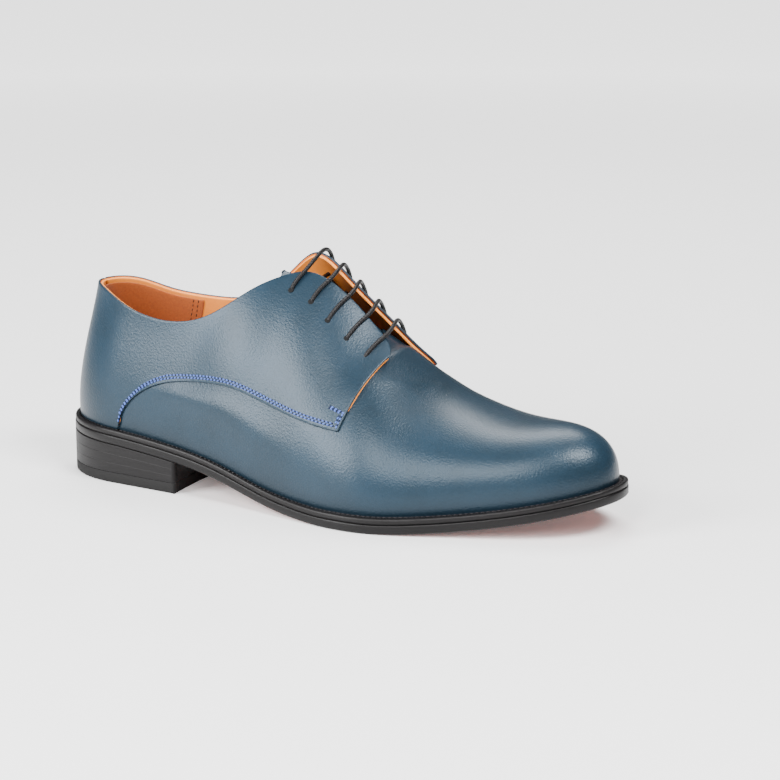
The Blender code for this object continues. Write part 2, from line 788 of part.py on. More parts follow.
def eyelet_line(side):
    """Eyelet centres and normals on the quarter's leather, and where the lace crosses the edge."""
    shares = share_at(side, np.linspace(*EYELET_RANGE[side], ROW_STEPS))
    leaving = ease(np.linspace(0, 1, ROW_STEPS), *SETBACK_OVER)
    setback = eyelet_setback_top + (eyelet_setback_front - eyelet_setback_top) * leaving
    spot = rise_below_top(side, shares, setback, "quarter")
    line = section(side, shares, spot, "quarter")
    length = np.r_[0, np.cumsum(np.linalg.norm(np.diff(line, axis=0), axis=1))]
    even = np.linspace(0, length[-1], eyelet_count)
    share = np.interp(even, length, shares)[:, None]
    rise = np.interp(even, length, spot)[:, None]
    point, normal = wall(side, share, rise, "quarter")
    # Nearest spot of the facing edge, where the lace crosses it
    edge_station = np.linspace(EYELET_RANGE[side][0], FACING_FRONT[side][0], FINE_STEPS)
    edge_share = share_at(side, edge_station)
    edge = section(side, edge_share, np.ones(FINE_STEPS), "quarter")
    nearest = np.linalg.norm(point - edge[None], axis=2).argmin(1)
    return point[:, 0], normal[:, 0], share[:, 0], rise[:, 0], edge_share[nearest]


def square_axes(axis):
    helper = np.array([1.0, 0.0, 0.0])
    u = np.cross(axis, helper)
    u /= np.linalg.norm(u)
    return u, np.cross(axis, u)


def eyelet_cutter():
    points = []
    faces = []
    around = np.linspace(0, 2 * np.pi, 12, endpoint=False)
    for side in (LATERAL, MEDIAL):
        centres, normals = eyelet_line(side)[:2]
        for centre, normal in zip(centres, normals):
            u, v = square_axes(normal)
            circle = np.outer(np.cos(around), u) + np.outer(np.sin(around), v)
            circle *= eyelet_diameter / 2
            first = len(points)
            points += list(centre + circle - normal * 2 * quarter_lining)
            points += list(centre + circle + normal * 2 * quarter_step)
            count = len(around)
            for i in range(count):
                j = (i + 1) % count
                faces.append((first + i, first + j, first + count + j, first + count + i))
            faces.append(tuple(first + i for i in reversed(range(count))))
            faces.append(tuple(first + count + i for i in range(count)))
    return as_cutter(make_object("eyelet_cutter", points, faces, None))


def make_upper():
    upper = make_object("upper", *upper_solid(), material("upper_leather", LEATHER_BLUE, 0.45))
    cut = upper.modifiers.new("cut_eyelets", "BOOLEAN")
    cut.operation = "DIFFERENCE"
    cut.object = eyelet_cutter()
    return upper


def make_tongue():
    """Strip over the crest, under the facings, its front lapped under the vamp."""
    along = np.linspace(0, 1, TONGUE_ROWS)**TONGUE_CROWDING
    stations = TONGUE_TOP + along * (THROAT + tongue_lap / shoe_length - TONGUE_TOP)
    from_top = along * (stations[-1] - stations[0]) * shoe_length
    half = tongue_half_width * (1 - TONGUE_TAPER * ease(along, *TONGUE_TAPER_OVER))
    half = half * (TONGUE_FLAT + (1 - TONGUE_FLAT) * round_end(from_top, tongue_round, 2))
    t = np.linspace(0, 1, TONGUE_COLUMNS)[None, :]
    sides = {}
    for side in (LATERAL, MEDIAL):
        share = share_at(side, stations)
        low = rise_below_top(side, share, half, "tongue")[:, None]
        share = np.repeat(share[:, None], TONGUE_COLUMNS, 1)
        sides[side] = np.stack(wall(side, share, low * (1 - t) + t, "tongue"))
    crest = (sides[LATERAL][:, :, -1:] + sides[MEDIAL][:, :, -1:]) / 2
    halves = [sides[LATERAL][:, :, :-1], crest, sides[MEDIAL][:, :, -2::-1]]
    point, normal = np.concatenate(halves, axis=2)
    outside = point - normal * (vamp_wall + fit_gap)
    solid = plate([outside - normal * tongue_thickness, outside])
    return make_object("tongue", *solid, material("tongue_leather", LEATHER_BLUE, 0.5))


def lace_route():
    """Five bars over the facings, joined by short runs under them, in one line."""
    eyes = {side: eyelet_line(side) for side in (LATERAL, MEDIAL)}
    over = quarter_step + lace_diameter / 2 + fit_gap
    under = quarter_lining + lace_diameter / 2 + fit_gap
    stops = np.linspace(0, 1, LACE_STOPS)
    route = []
    order = [LATERAL, MEDIAL]
    for i in range(eyelet_count):
        bar = []
        for side in order:
            centre, outward, share, rise, crossing = (row[i] for row in eyes[side])
            shares = share + (crossing - share) * stops
            rises = rise + (1 - rise) * stops
            point, normal = wall(side, shares[:, None], rises[:, None], "quarter")
            half = point[:, 0] + normal[:, 0] * (over + lace_lift * stops[:, None])
            bar.append(np.vstack([centre - outward * under, half]))
        middle = (bar[0][-1] + bar[1][-1]) / 2 + (0, 0, lace_bow)
        route.append(np.vstack([bar[0], middle, bar[1][::-1]]))
        order = order[::-1]
    return np.vstack(route)


def make_laces():
    points = lace_route()
    run = np.r_[0, np.cumsum(np.linalg.norm(np.diff(points, axis=0), axis=1))]
    count = int(run[-1] / (LACE_STEP * lace_diameter))
    even = np.linspace(0, run[-1], count)
    smooth_line = np.stack([smooth(run, points[:, k])(even) for k in range(3)], 1)
    curve = bpy.data.curves.new("laces", "CURVE")
    curve.dimensions = "3D"
    curve.bevel_depth = lace_diameter / 2
    curve.bevel_resolution = 2
    curve.use_fill_caps = True
    spline = curve.splines.new("POLY")
    spline.points.add(count - 1)
    for point, place in zip(spline.points, smooth_line):
        point.co = (*place, 1)
    curve.materials.append(material("lace_cord", CORD_BLACK, 0.5))
    laces = bpy.data.objects.new("laces", curve)
    bpy.context.scene.collection.objects.link(laces)
    return laces


def centre_on_floor(objects):
    """Put the origin under the middle of the sole, which is the shoe's widest piece."""
    outline = sole_loop(sole_rows(SOLE_ROWS))
    middle = (outline.min(0) + outline.max(0)) / 2
    for made in objects:
        made.location = (-middle[0], -middle[1], 0)


def main():
    for old in list(bpy.data.objects):
        bpy.data.objects.remove(old)
    make_outsole()
    make_welt()
    make_insole()
    make_heel()
    make_upper()
    make_tongue()
    make_laces()
    centre_on_floor(bpy.context.scene.collection.objects)


main()
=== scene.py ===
"""Looks of the derby shoe for the right foot: leathers, seams, stitches, laces, sole and light.

Metres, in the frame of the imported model: toe towards +X, medial side towards +Y, +Z up.
The shapes come from the same last as the solids: wall sections rise from the line where the
upper leaves the welt, and end on the crest of the last, on the collar or on the facings.
"""

import bmesh
import bpy
import numpy as np
from mathutils import Matrix, Vector


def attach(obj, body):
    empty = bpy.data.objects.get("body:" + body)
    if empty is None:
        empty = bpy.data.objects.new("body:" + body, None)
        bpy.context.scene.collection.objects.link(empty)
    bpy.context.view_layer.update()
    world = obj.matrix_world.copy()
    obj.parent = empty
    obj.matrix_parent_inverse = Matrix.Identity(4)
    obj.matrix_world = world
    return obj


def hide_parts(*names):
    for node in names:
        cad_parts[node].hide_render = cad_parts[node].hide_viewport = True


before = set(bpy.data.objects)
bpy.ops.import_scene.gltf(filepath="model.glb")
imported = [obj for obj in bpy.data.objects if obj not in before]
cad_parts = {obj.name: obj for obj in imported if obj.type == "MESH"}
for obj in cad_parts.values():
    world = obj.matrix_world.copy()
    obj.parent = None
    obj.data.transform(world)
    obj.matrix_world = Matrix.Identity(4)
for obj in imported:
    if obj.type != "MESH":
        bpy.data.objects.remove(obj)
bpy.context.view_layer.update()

# Main sizes of the shoe
shoe_length = 0.303
ball_width = 0.1035
instep_height = 0.112
heel_rise = 0.022
heel_length = 0.079
toe_spring = 0.017

# Sole, welt and heel
outsole_thickness = 0.0046
welt_thickness = 0.0028
ledge_heel = 0.0040
ledge_waist = 0.0028
ledge_fore = 0.0045
top_piece_thickness = 0.0055
lift_count = 3
breast_hollow = 0.0025
heel_round = 0.038
toe_round = 0.092

# Upper, tongue and insole
vamp_wall = 0.0020
quarter_leather = 0.0012
lining_leather = 0.0014
insole_thickness = 0.0040
tongue_thickness = 0.0022
tongue_half_width = 0.025
tongue_round = 0.016
tongue_droop = 0.0028
tongue_lap = 0.009
pocket_leather = 0.0008
insole_cup = 0.0012
lift_line = 0.00014
collar_setback = 0.0145
collar_round = 0.040
fit_gap = 0.0003

# Lacing
eyelet_count = 5
eyelet_hole = 0.0031
eyelet_setback_top = 0.0100
eyelet_setback_front = 0.0180
lace_diameter = 0.0021

# Seams
stitch_pitch = 0.0021
stitch_rows = (0.0017, 0.0029)
stitch_length = 0.0014
stitch_width = 0.0010
stitch_slant = 24
hole_length = 0.0012
front_setback = 0.0012
front_row_height = 0.0090
tack_length = 0.0085
heel_seam_setback = 0.0016
heel_seam_radius = 0.00030
braid_pitch = 0.0016

# The shoe's sides, each by the sign of its y
LATERAL = -1
MEDIAL = 1
SIDES = {LATERAL: "lateral", MEDIAL: "medial"}


def columns(names, rows):
    """Table with named columns, one row for each section."""
    return dict(zip(names.split(), np.array(rows, float).T))


HEEL_POWER = 2.15
TOE_POWER = 2.05
COLLAR_POWER = 2.0
# Half width of the sole on each side of the long axis, as shares of the ball width
OUTLINE = columns("station lateral medial", [
    (0.00, 0.306, 0.316),
    (0.11, 0.338, 0.328),
    (0.23, 0.373, 0.322),
    (0.38, 0.426, 0.289),
    (0.52, 0.522, 0.338),
    (0.64, 0.561, 0.437),
    (0.73, 0.493, 0.497),
    (0.82, 0.440, 0.497),
    (0.90, 0.423, 0.480),
    (1.00, 0.409, 0.459),
])
# Underside of the sole behind its flat spot, as shares of the heel's rise
ARCH = columns("station height", [
    (0.00, 1.00),
    (0.22, 0.80),
    (0.34, 0.53),
    (0.44, 0.18),
    (0.52, 0.03),
])
FLAT = (0.57, 0.64)
SPRING_POWER = 1.75
# Width of the ledge beside the upper
LEDGE = columns("station width", [
    (0.00, ledge_heel),
    (0.15, ledge_heel),
    (0.38, ledge_waist),
    (0.60, ledge_fore),
    (1.00, ledge_fore),
])
# Lean of the wall above the welt in degrees, and how far it holds it, share of instep height
WALL = columns("station lean hold", [
    (0.00, 4, 0.21),
    (0.12, 5, 0.20),
    (0.28, 6, 0.22),
    (0.42, 6, 0.30),
    (0.55, 8, 0.30),
    (0.68, 10, 0.26),
    (0.80, 11, 0.23),
    (0.90, 7, 0.19),
    (1.00, 0, 0.16),
])
# Crest of the last: height by instep height, shift to the medial side by ball width,
# and pull of the section's top by the section's chord
CREST = columns("station height shift pull", [
    (0.38, 1.045, 0.020, 0.34),
    (0.46, 0.955, 0.030, 0.34),
    (0.52, 0.855, 0.040, 0.35),
    (0.58, 0.740, 0.050, 0.36),
    (0.64, 0.630, 0.058, 0.37),
    (0.70, 0.530, 0.058, 0.38),
    (0.75, 0.474, 0.050, 0.42),
    (0.80, 0.442, 0.036, 0.45),
    (0.87, 0.438, 0.016, 0.51),
])
# Collar and facing edge of each quarter: height by instep height, distance from the long
# axis by ball width, and slope of the leather there in degrees
EDGE_LATERAL = columns("station height aside slope", [
    (0.048, 0.872, 0.225, 80),
    (0.085, 0.858, 0.226, 80),
    (0.125, 0.822, 0.238, 80),
    (0.190, 0.768, 0.250, 80),
    (0.250, 0.760, 0.258, 78),
    (0.300, 0.793, 0.256, 74),
    (0.345, 0.862, 0.232, 64),
    (0.385, 0.935, 0.178, 54),
    (0.425, 0.982, 0.115, 48),
    (0.465, 0.996, 0.082, 45),
    (0.500, 0.962, 0.076, 43),
    (0.545, 0.872, 0.074, 40),
    (0.585, 0.770, 0.078, 36),
    (0.620, 0.685, 0.090, 32),
    (0.680, 0.560, 0.110, 26),
])
EDGE_MEDIAL = columns("station height aside slope", [
    (0.048, 0.872, 0.225, 80),
    (0.085, 0.856, 0.234, 80),
    (0.125, 0.815, 0.244, 80),
    (0.190, 0.790, 0.246, 80),
    (0.250, 0.789, 0.244, 78),
    (0.300, 0.815, 0.240, 74),
    (0.345, 0.885, 0.232, 66),
    (0.385, 0.975, 0.205, 54),
    (0.425, 1.042, 0.158, 50),
    (0.465, 1.020, 0.122, 46),
    (0.500, 0.945, 0.114, 43),
    (0.545, 0.842, 0.114, 40),
    (0.585, 0.754, 0.114, 36),
    (0.640, 0.638, 0.112, 30),
    (0.700, 0.548, 0.110, 24),
])
EDGES = {LATERAL: EDGE_LATERAL, MEDIAL: EDGE_MEDIAL}
EDGE_PULL = 0.30
# Lower seam of the quarters: share along it, station, and height up the wall section
SEAM = columns("share station rise", [
    (0.00, 0.138, 0.00),
    (0.08, 0.145, 0.12),
    (0.17, 0.170, 0.29),
    (0.28, 0.215, 0.435),
    (0.40, 0.270, 0.495),
    (0.55, 0.345, 0.465),
    (0.72, 0.435, 0.385),
    (0.86, 0.510, 0.365),
    (1.00, 0.580, 0.395),
])
FACING_FRONT = {LATERAL: (0.614, 0.915), MEDIAL: (0.636, 0.79)}
FACING_TURN = {LATERAL: 0.022, MEDIAL: 0.080}
ABOVE_SEAM = 0.175
COLLAR_END = 0.41
TOP_BLEND = (0.45, 0.53)
ROUND_BLEND = (0.53, 0.61)
THROAT = 0.585
TONGUE_TOP = 0.398
TONGUE_TAPER = 0.45
TONGUE_TAPER_OVER = (0.1, 0.8)
TONGUE_FLAT = 0.12
TONGUE_ROUNDING = 0.6
CREST_FROM = 0.66
EYELET_RANGE = {LATERAL: (0.444, 0.583), MEDIAL: (0.452, 0.580)}

# Edge of the outsole: share of its thickness and how far it is set in
OUTSOLE_EDGE = ((0.0, 0.0010), (0.06, 0.0004), (0.18, 0.0), (0.85, 0.0), (1.0, 0.0002))
# Cup of the sock: share of its half width where it begins, and length at the heel without it
CUP_FROM = 0.7
CUP_HEEL = 0.02
# Edge of the heel's top piece: how far it is set in, and height
TREAD_EDGE = (
    (0.0006, 0.0),
    (0.0001, 0.0005),
    (0.0, 0.0012),
    (0.0, top_piece_thickness - 0.0003),
    (0.0002, top_piece_thickness),
)
# Section of the welt: its shoulder from the outer edge, and its furrow from the upper's foot,
# each point with its height against the welt's top
WELT_SHOULDER = (
    (0.0003, -welt_thickness),
    (0.0002, -0.0018),
    (0.0003, -0.0008),
    (0.0006, -0.0002),
    (0.0010, 0.0),
)
WELT_FURROW = (
    (-0.0016, 0.0),
    (-0.0011, -0.0003),
    (-0.0005, -0.0004),
    (0.0, -0.0002),
    (vamp_wall + fit_gap, 0.0),
    (vamp_wall + fit_gap, -welt_thickness),
)

# Vamp: stations over which it leaves the quarters' surface and climbs to the crest, how far it
# runs under them, and how thin it is shaved there
VAMP_SPREAD = 0.09
VAMP_CREST_RISE = (0.72, 1.0)
VAMP_CLIMB = (0.50, THROAT - 0.002)
VAMP_UNDERLAP = 0.075
VAMP_BEHIND = 0.03
SKIVED = 0.0004
SKIVED_ABOVE_SEAM = (0.005, 0.04)
SKIVED_BEHIND_FRONT = (-0.012, -0.004)
# Soft troughs and ridges: side, places as station and rise, reach and height in metres
CREASES = (
    (LATERAL, ((0.15, 0.38), (0.25, 0.38), (0.34, 0.32), (0.43, 0.235), (0.55, 0.18)), 0.009, 0.0018),
    (LATERAL, ((0.20, 0.20), (0.31, 0.15), (0.42, 0.07)), 0.0070, -0.0006),
    (MEDIAL, ((0.26, 0.40), (0.35, 0.34), (0.44, 0.26)), 0.0085, 0.0009),
    (MEDIAL, ((0.24, 0.26), (0.33, 0.19), (0.42, 0.11)), 0.0070, -0.0007),
)
SECTION_LENGTH = 0.100
CREASE_FADING = 0.4

# Points over each quarter, with those behind the seam's start, over half the vamp and the tongue
QUARTER_COLUMNS = 150
QUARTER_BACK = 44
QUARTER_ROWS = 64
FRONT_CROWDING = 1.35
VAMP_COLUMNS = 190
VAMP_ROWS = 90
TONGUE_ROWS = 70
TONGUE_CROWDING = 1.2
TONGUE_ACROSS = 22
SEAM_POINTS = 200
HEEL_SEAM_POINTS = 160
EDGE_POINTS = 300
ROW_POINTS = 40
POCKET_COLUMNS = 60
POCKET_HEIGHTS = 40
# Heights up a section among which a distance below its top is looked for
SEARCHED_RISES = np.linspace(0.4, 1, 80)
# Rows along the sole's pieces and points across them
OUTLINE_ROWS = 900
SOLE_ROWS = 260
SOLE_ACROSS = 9
SOCK_ROWS = 200
SOCK_ACROSS = 31
WELT_ROWS = 420
WELT_MARK_ROWS = 700
HEEL_ROWS = 90
HEEL_BREAST_ROWS = 20
HEEL_ACROSS = 17
# Angles of the points round a sheet's edge
RIM_TURNS = (-60, -25, 25, 60)
# Lift of the quarters' front edge and facings: height, reach, and where it sets in
FRONT_LIFT = 0.0011
FACING_LIFT = 0.0006
LIFT_REACH = 0.010
FRONT_LIFT_UP = (0.10, 0.45)
FACING_LIFT_FROM = (0.40, 0.47)
FACING_LIFT_UP = (0.8, 1.0)

# Lining and heel pocket: gaps to the leather, drop below the collar, and ends
LINING_START = 0.05
LINING_GAP = 0.0001
FACING_GAP = 0.0005
FACING_GAP_UP = (0.6, 0.9)
COLLAR_DROP = 0.0012
LINING_FLUSH = (0.41, 0.45)
POCKET_FRONT = 0.165
POCKET_SLANT = 0.02
POCKET_LOW = 0.05
POCKET_TOP = 0.955
POCKET_ROWS = (4, 7)

# Bars of the lace: shares of the way from the eyelet to the edge, heights there by the lace's
# radius, extra arch, and how far they lean from straight across to straight in the camera's view
LACE_STOPS = np.array((0.0, 0.12, 0.30, 0.62, 1.0))
LACE_HEIGHTS = np.array((-1.6, 0.30, 0.95, 1.1, 1.1))
LACE_ARCH = {LATERAL: 0.0004, MEDIAL: 0.0005}
LACE_LEAN = 0.45
# Stations of the edge, behind the eyelets and ahead of the front, that a bar may cross
EDGE_BEYOND = (0.05, 0.02)
BRAID_STRANDS = 3

# Length, width and height of stitches and marks, and the pitch of their rows
SEAM_STITCH = (stitch_length, stitch_width, 0.0007)
NEEDLE_HOLE = (hole_length, stitch_width, 0.0006)
HEEL_STITCH = (stitch_length, 0.0006, 0.0005)
POCKET_STITCH = (0.0019, 0.0006, 0.0005)
WELT_STITCH = (0.0021, 0.0008, 0.0007)
WHEEL_MARK = (0.0004, 0.0016, 0.0003)
EYELET_RIM = (eyelet_hole, eyelet_hole, 0.0005)
pocket_pitch = 0.0026
welt_pitch = 0.0026
wheel_pitch = 0.0014
stitch_lift = 0.0001
furrow_setback = 0.0007
wheel_setback = 0.0001
# Least sine of the angle between the quarters' columns and their seam that a row allows for
LEAST_SQUARE = 0.35

# Shine of the finishes, roughness of the wax, the cloudy dye, and size and depth of the pores
# by the grain
LEATHER_SHINE = 0.36
BLACK_SHINE = 0.18
CORD_SHINE = 0.22
PLAIN_SHINE = 0.3
LEATHER_WAX = 0.28
SHINE_TINT = "#d8e6f2"
CLOUD_MM = 38
MOTTLE_MM = 2.4
CLOUD_SHARE = 0.75
CLOUD_RANGE = (0.32, 0.68)
PORE_SIZE = 0.6
PORE_DEPTH = 0.6
cord_relief = 0.00010

# Painted shade: on the upper towards the welt, and on the lining under the facings by station
WELT_SHADE_REACH = 0.007
WELT_SHADE_MOST = 0.75
FACING_SHADE_MOST = 0.92
FACING_SHADE_FROM = (0.38, 0.51)

# Seam at the heel, on the medial side: height up the wall and station
HEEL_SEAM = columns("rise station", [
    (0.02, 0.036),
    (0.30, 0.036),
    (0.55, 0.037),
    (0.70, 0.044),
    (0.82, 0.060),
    (0.92, 0.084),
    (0.995, 0.106),
])

# Camera: the photo's angle and distance, its lens, and where the aim falls in the picture
PICTURE = 780
CAMERA_TURN = 27.0
CAMERA_RISE = 13.12
CAMERA_DISTANCE = 1.10
LENS_PIXELS = 2219
AIM = (0.150, 0.0, 0.045)
AIM_PIXEL = (336.6, 405.2)
SENSOR_MM = 36

# Softboxes: turn from +X and rise above the floor in degrees, distance, aim, size and power
SOFTBOXES = {
    "left_softbox": (-127, 26, 1.5, (0.02, 0, 0.04), (0.75, 0.8), 44),
    "front_softbox": (-83, 36, 1.6, (0, 0, 0.04), (0.5, 0.9), 26),
    "toe_softbox": (-19, 53, 1.5, (0.05, 0, 0.04), (0.6, 0.5), 32),
    "back_softbox": (112, 60, 1.6, (0, 0, 0.04), (0.9, 0.6), 22),
    "top_softbox": (90, 84, 1.8, (0, 0, 0.04), (1.2, 0.9), 6),
}
# White surroundings: their light, how bright the camera sees them, and the floor's glow, which
# only the camera sees and which grows with the distance from the shoe
WORLD_LIGHT = 0.2
WORLD_SEEN = 2.0
FLOOR_GLOW = (0.12, 2.2)
FLOOR_GLOW_OVER = (0.2, 2.4)


# Curves

def smooth(knots, values, start=None, end=None):
    """Cubic spline through the knots, natural where no end slope is given."""
    knots = np.asarray(knots, float)
    values = np.asarray(values, float)
    count = len(knots)
    step = np.diff(knots)
    slope = np.diff(values) / step
    matrix = np.eye(count)
    right = np.zeros(count)
    for i in range(1, count - 1):
        matrix[i, i - 1:i + 2] = step[i - 1], 2 * (step[i - 1] + step[i]), step[i]
        right[i] = 6 * (slope[i] - slope[i - 1])
    if start is not None:
        matrix[0, :2] = 2 * step[0], step[0]
        right[0] = 6 * (slope[0] - start)
    if end is not None:
        matrix[-1, -2:] = step[-1], 2 * step[-1]
        right[-1] = 6 * (end - slope[-1])
    bend = np.linalg.solve(matrix, right)

    def at(x):
        x = np.clip(np.asarray(x, float), knots[0], knots[-1])
        i = np.clip(np.searchsorted(knots, x) - 1, 0, count - 2)
        after = knots[i + 1] - x
        before = x - knots[i]
        curve = (bend[i] * after**3 + bend[i + 1] * before**3) / (6 * step[i])
        left = (values[i] / step[i] - bend[i] * step[i] / 6) * after
        return curve + left + (values[i + 1] / step[i] - bend[i + 1] * step[i] / 6) * before
    return at


def ease(x, low, high):
    t = np.clip((np.asarray(x, float) - low) / (high - low), 0, 1)
    return t * t * (3 - 2 * t)


def round_end(distance, radius, power):
    """Share of the full width at a distance from a rounded end."""
    t = np.clip((radius - distance) / radius, 0, 1)
    return (1 - t**power)**(1 / power)


def unit(vectors):
    return vectors / np.maximum(np.linalg.norm(vectors, axis=-1, keepdims=True), 1e-12)


def run_of(line):
    """Length along a line at each of its points."""
    return np.r_[0, np.cumsum(np.linalg.norm(np.diff(line, axis=0), axis=1))]


def along(line, run, places):
    """Points of a line at these lengths along it."""
    return np.stack([np.interp(places, run, line[:, k]) for k in range(line.shape[1])], 1)


# The sole

OUTLINE_AT = {side: smooth(OUTLINE["station"], OUTLINE[word]) for side, word in SIDES.items()}
ARCH_AT = smooth(np.r_[ARCH["station"], FLAT[0]], np.r_[ARCH["height"], 0], end=0)
LEDGE_AT = smooth(LEDGE["station"], LEDGE["width"])
LEAN_AT = smooth(WALL["station"], WALL["lean"])
HOLD_AT = smooth(WALL["station"], WALL["hold"])
CREST_HEIGHT_AT = smooth(CREST["station"], CREST["height"])
CREST_SHIFT_AT = smooth(CREST["station"], CREST["shift"])
CREST_PULL_AT = smooth(CREST["station"], CREST["pull"])
EDGE_HEIGHT_AT = {s: smooth(EDGES[s]["station"], EDGES[s]["height"], start=0) for s in EDGES}
EDGE_ASIDE_AT = {s: smooth(EDGES[s]["station"], EDGES[s]["aside"]) for s in EDGES}
EDGE_SLOPE_AT = {s: smooth(EDGES[s]["station"], EDGES[s]["slope"]) for s in EDGES}


def half_width(x, side):
    """Half width of the sole's outline at a distance from the back of the heel."""
    full = OUTLINE_AT[side](x / shoe_length) * ball_width
    heel = round_end(x, heel_round, HEEL_POWER)
    toe = round_end(shoe_length - x, toe_round, TOE_POWER)
    return full * heel * toe


def underside(x):
    """Height of the outsole's underside."""
    station = x / shoe_length
    arch = ARCH_AT(station) * heel_rise
    spring = toe_spring * np.clip((station - FLAT[1]) / (1 - FLAT[1]), 0, 1)**SPRING_POWER
    return np.where(station < FLAT[0], np.maximum(arch, 0), spring)


def welt_bottom(x):
    return underside(x) + outsole_thickness + fit_gap


def welt_top(x):
    return welt_bottom(x) + welt_thickness


def inset(loop, distance):
    """A closed loop, lateral side first from heel to toe, moved inwards."""
    tangent = unit(np.roll(loop, -1, 0) - np.roll(loop, 1, 0))
    return loop + np.stack([-tangent[:, 1], tangent[:, 0]], 1) * np.reshape(distance, (-1, 1))


def sole_loop(rows):
    """Closed outline through the given rows: lateral to the toe, medial back to the heel."""
    lateral = np.stack([rows, -half_width(rows, LATERAL)], 1)
    medial = np.stack([rows, half_width(rows, MEDIAL)], 1)
    return np.vstack([lateral, medial[-2:0:-1]])


def crowded_rows(count):
    """Rows along the sole, closer at both ends."""
    return shoe_length * (1 - np.cos(np.linspace(0, np.pi, count))) / 2


FINE_LOOP = sole_loop(crowded_rows(OUTLINE_ROWS))
MIDDLE = (FINE_LOOP.min(0) + FINE_LOOP.max(0)) / 2
SHIFT = np.array([-MIDDLE[0], -MIDDLE[1], 0.0])


def feather_lines():
    """Plan of the line where the upper leaves the welt, each side from heel to toe."""
    count = OUTLINE_ROWS
    loop = inset(FINE_LOOP, LEDGE_AT(FINE_LOOP[:, 0] / shoe_length))
    loop[0, 1] = 0
    loop[count - 1, 1] = 0
    back = np.vstack([loop[:1], loop[count - 1:][::-1]])
    return {LATERAL: loop[:count], MEDIAL: back}


FEATHER = feather_lines()
FEATHER_RUN = {side: run_of(FEATHER[side]) / run_of(FEATHER[side])[-1] for side in FEATHER}


# The last

def feather(side, share):
    """Foot of the wall at a share of the side's length."""
    plan = along(FEATHER[side], FEATHER_RUN[side], share)
    return np.c_[plan, welt_top(plan[:, 0]) + fit_gap]


def share_at(side, station):
    """Share of the side where the foot of the wall has this station."""
    return np.interp(np.asarray(station) * shoe_length, FEATHER[side][:, 0], FEATHER_RUN[side])


def crest_rate(x):
    """Rise of the crest for each metre along the shoe."""
    step = 0.001
    ahead = CREST_HEIGHT_AT(x / shoe_length + step)
    behind = CREST_HEIGHT_AT(x / shoe_length - step)
    return (ahead - behind) * instep_height / (2 * step * shoe_length)


def crest_point(foot):
    """End of a section on the crest of the last, and its pull."""
    reach = shoe_length - CREST_FROM * shoe_length
    length = (CREST["station"][-1] - CREST_FROM) * shoe_length
    t = np.clip((foot[:, 0] - CREST_FROM * shoe_length) / reach, 0, 1)
    ahead = CREST_FROM * shoe_length + length * (1 - (1 - t)**(reach / length))
    x = np.where(foot[:, 0] > CREST_FROM * shoe_length, ahead, foot[:, 0])
    station = x / shoe_length
    point = np.stack([x, CREST_SHIFT_AT(station) * ball_width,
                      CREST_HEIGHT_AT(station) * instep_height], 1)
    return point, CREST_PULL_AT(station)


def edge_point(side, foot):
    """End of a section on the collar or facing edge, and its slope."""
    back = FEATHER[side][0, 0]
    end = COLLAR_END * shoe_length
    x = collar_setback + (foot[:, 0] - back) * (end - collar_setback) / (end - back)
    x = np.where(foot[:, 0] > end, foot[:, 0], x)
    station = x / shoe_length
    start = EDGES[side]["station"][0] * shoe_length
    across = EDGE_ASIDE_AT[side](station) * ball_width
    across = across * round_end(np.maximum(x - start, 0), collar_round, COLLAR_POWER)
    point = np.stack([x, side * across, EDGE_HEIGHT_AT[side](station) * instep_height], 1)
    return point, np.radians(EDGE_SLOPE_AT[side](station))


def pulled(foot, top, slope, rate, pull):
    """Point that a section heads for before its top, where the leather has this slope."""
    across = unit(top[:, :2] - foot[:, :2])
    heading = np.c_[across * np.cos(slope)[:, None],
                    np.sin(slope) + rate * across[:, 0] * np.cos(slope)]
    chord = np.linalg.norm(top - foot, axis=1)
    return top - unit(heading) * (pull * chord)[:, None]


def section(side, share, rise, piece):
    """Points on the wall sections at shares of the side and heights up the section."""
    foot = feather(side, share)
    station = foot[:, 0] / shoe_length
    to_crest = {"quarter": 0 * station, "vamp": ease(station, *TOP_BLEND), "tongue": 0 * station + 1}
    rounding = ease(station, *ROUND_BLEND)
    least = {"quarter": 0, "vamp": rounding, "tongue": np.maximum(rounding, TONGUE_ROUNDING)}
    rounding = (least[piece] + 0 * station)[:, None]
    crest, pull = crest_point(foot)
    edge, slope = edge_point(side, foot)
    step = 0.001
    outward = unit(feather(side, np.clip(share + step, 0, 1))[:, :2]
                   - feather(side, np.clip(share - step, 0, 1))[:, :2])
    outward = np.stack([-outward[:, 1], outward[:, 0]], 1) * side
    outward[share <= 0] = (-1, 0)
    outward[share >= 1] = (1, 0)
    lean = np.radians(LEAN_AT(station))
    hold = HOLD_AT(station) * instep_height
    low = foot + np.c_[outward * (np.sin(lean) * hold)[:, None], np.cos(lean) * hold]
    rate = crest_rate(crest[:, 0])
    high = pulled(foot, edge, slope, 0 * rate, 0 * pull + EDGE_PULL)
    high = high + (pulled(foot, crest, 0 * slope, rate, pull) - high) * rounding
    top = edge + (crest - edge) * to_crest[piece][:, None]
    t = rise[:, None]
    return ((1 - t)**3 * foot + 3 * (1 - t)**2 * t * low
            + 3 * (1 - t) * t**2 * high + t**3 * top)


def front_edge_station(rise):
    """Station of the quarters' front edge at a height up the section."""
    return np.interp(rise, [SEAM["rise"][-1], FACING_FRONT[LATERAL][1]],
                     [SEAM["station"][-1], FACING_FRONT[LATERAL][0]])


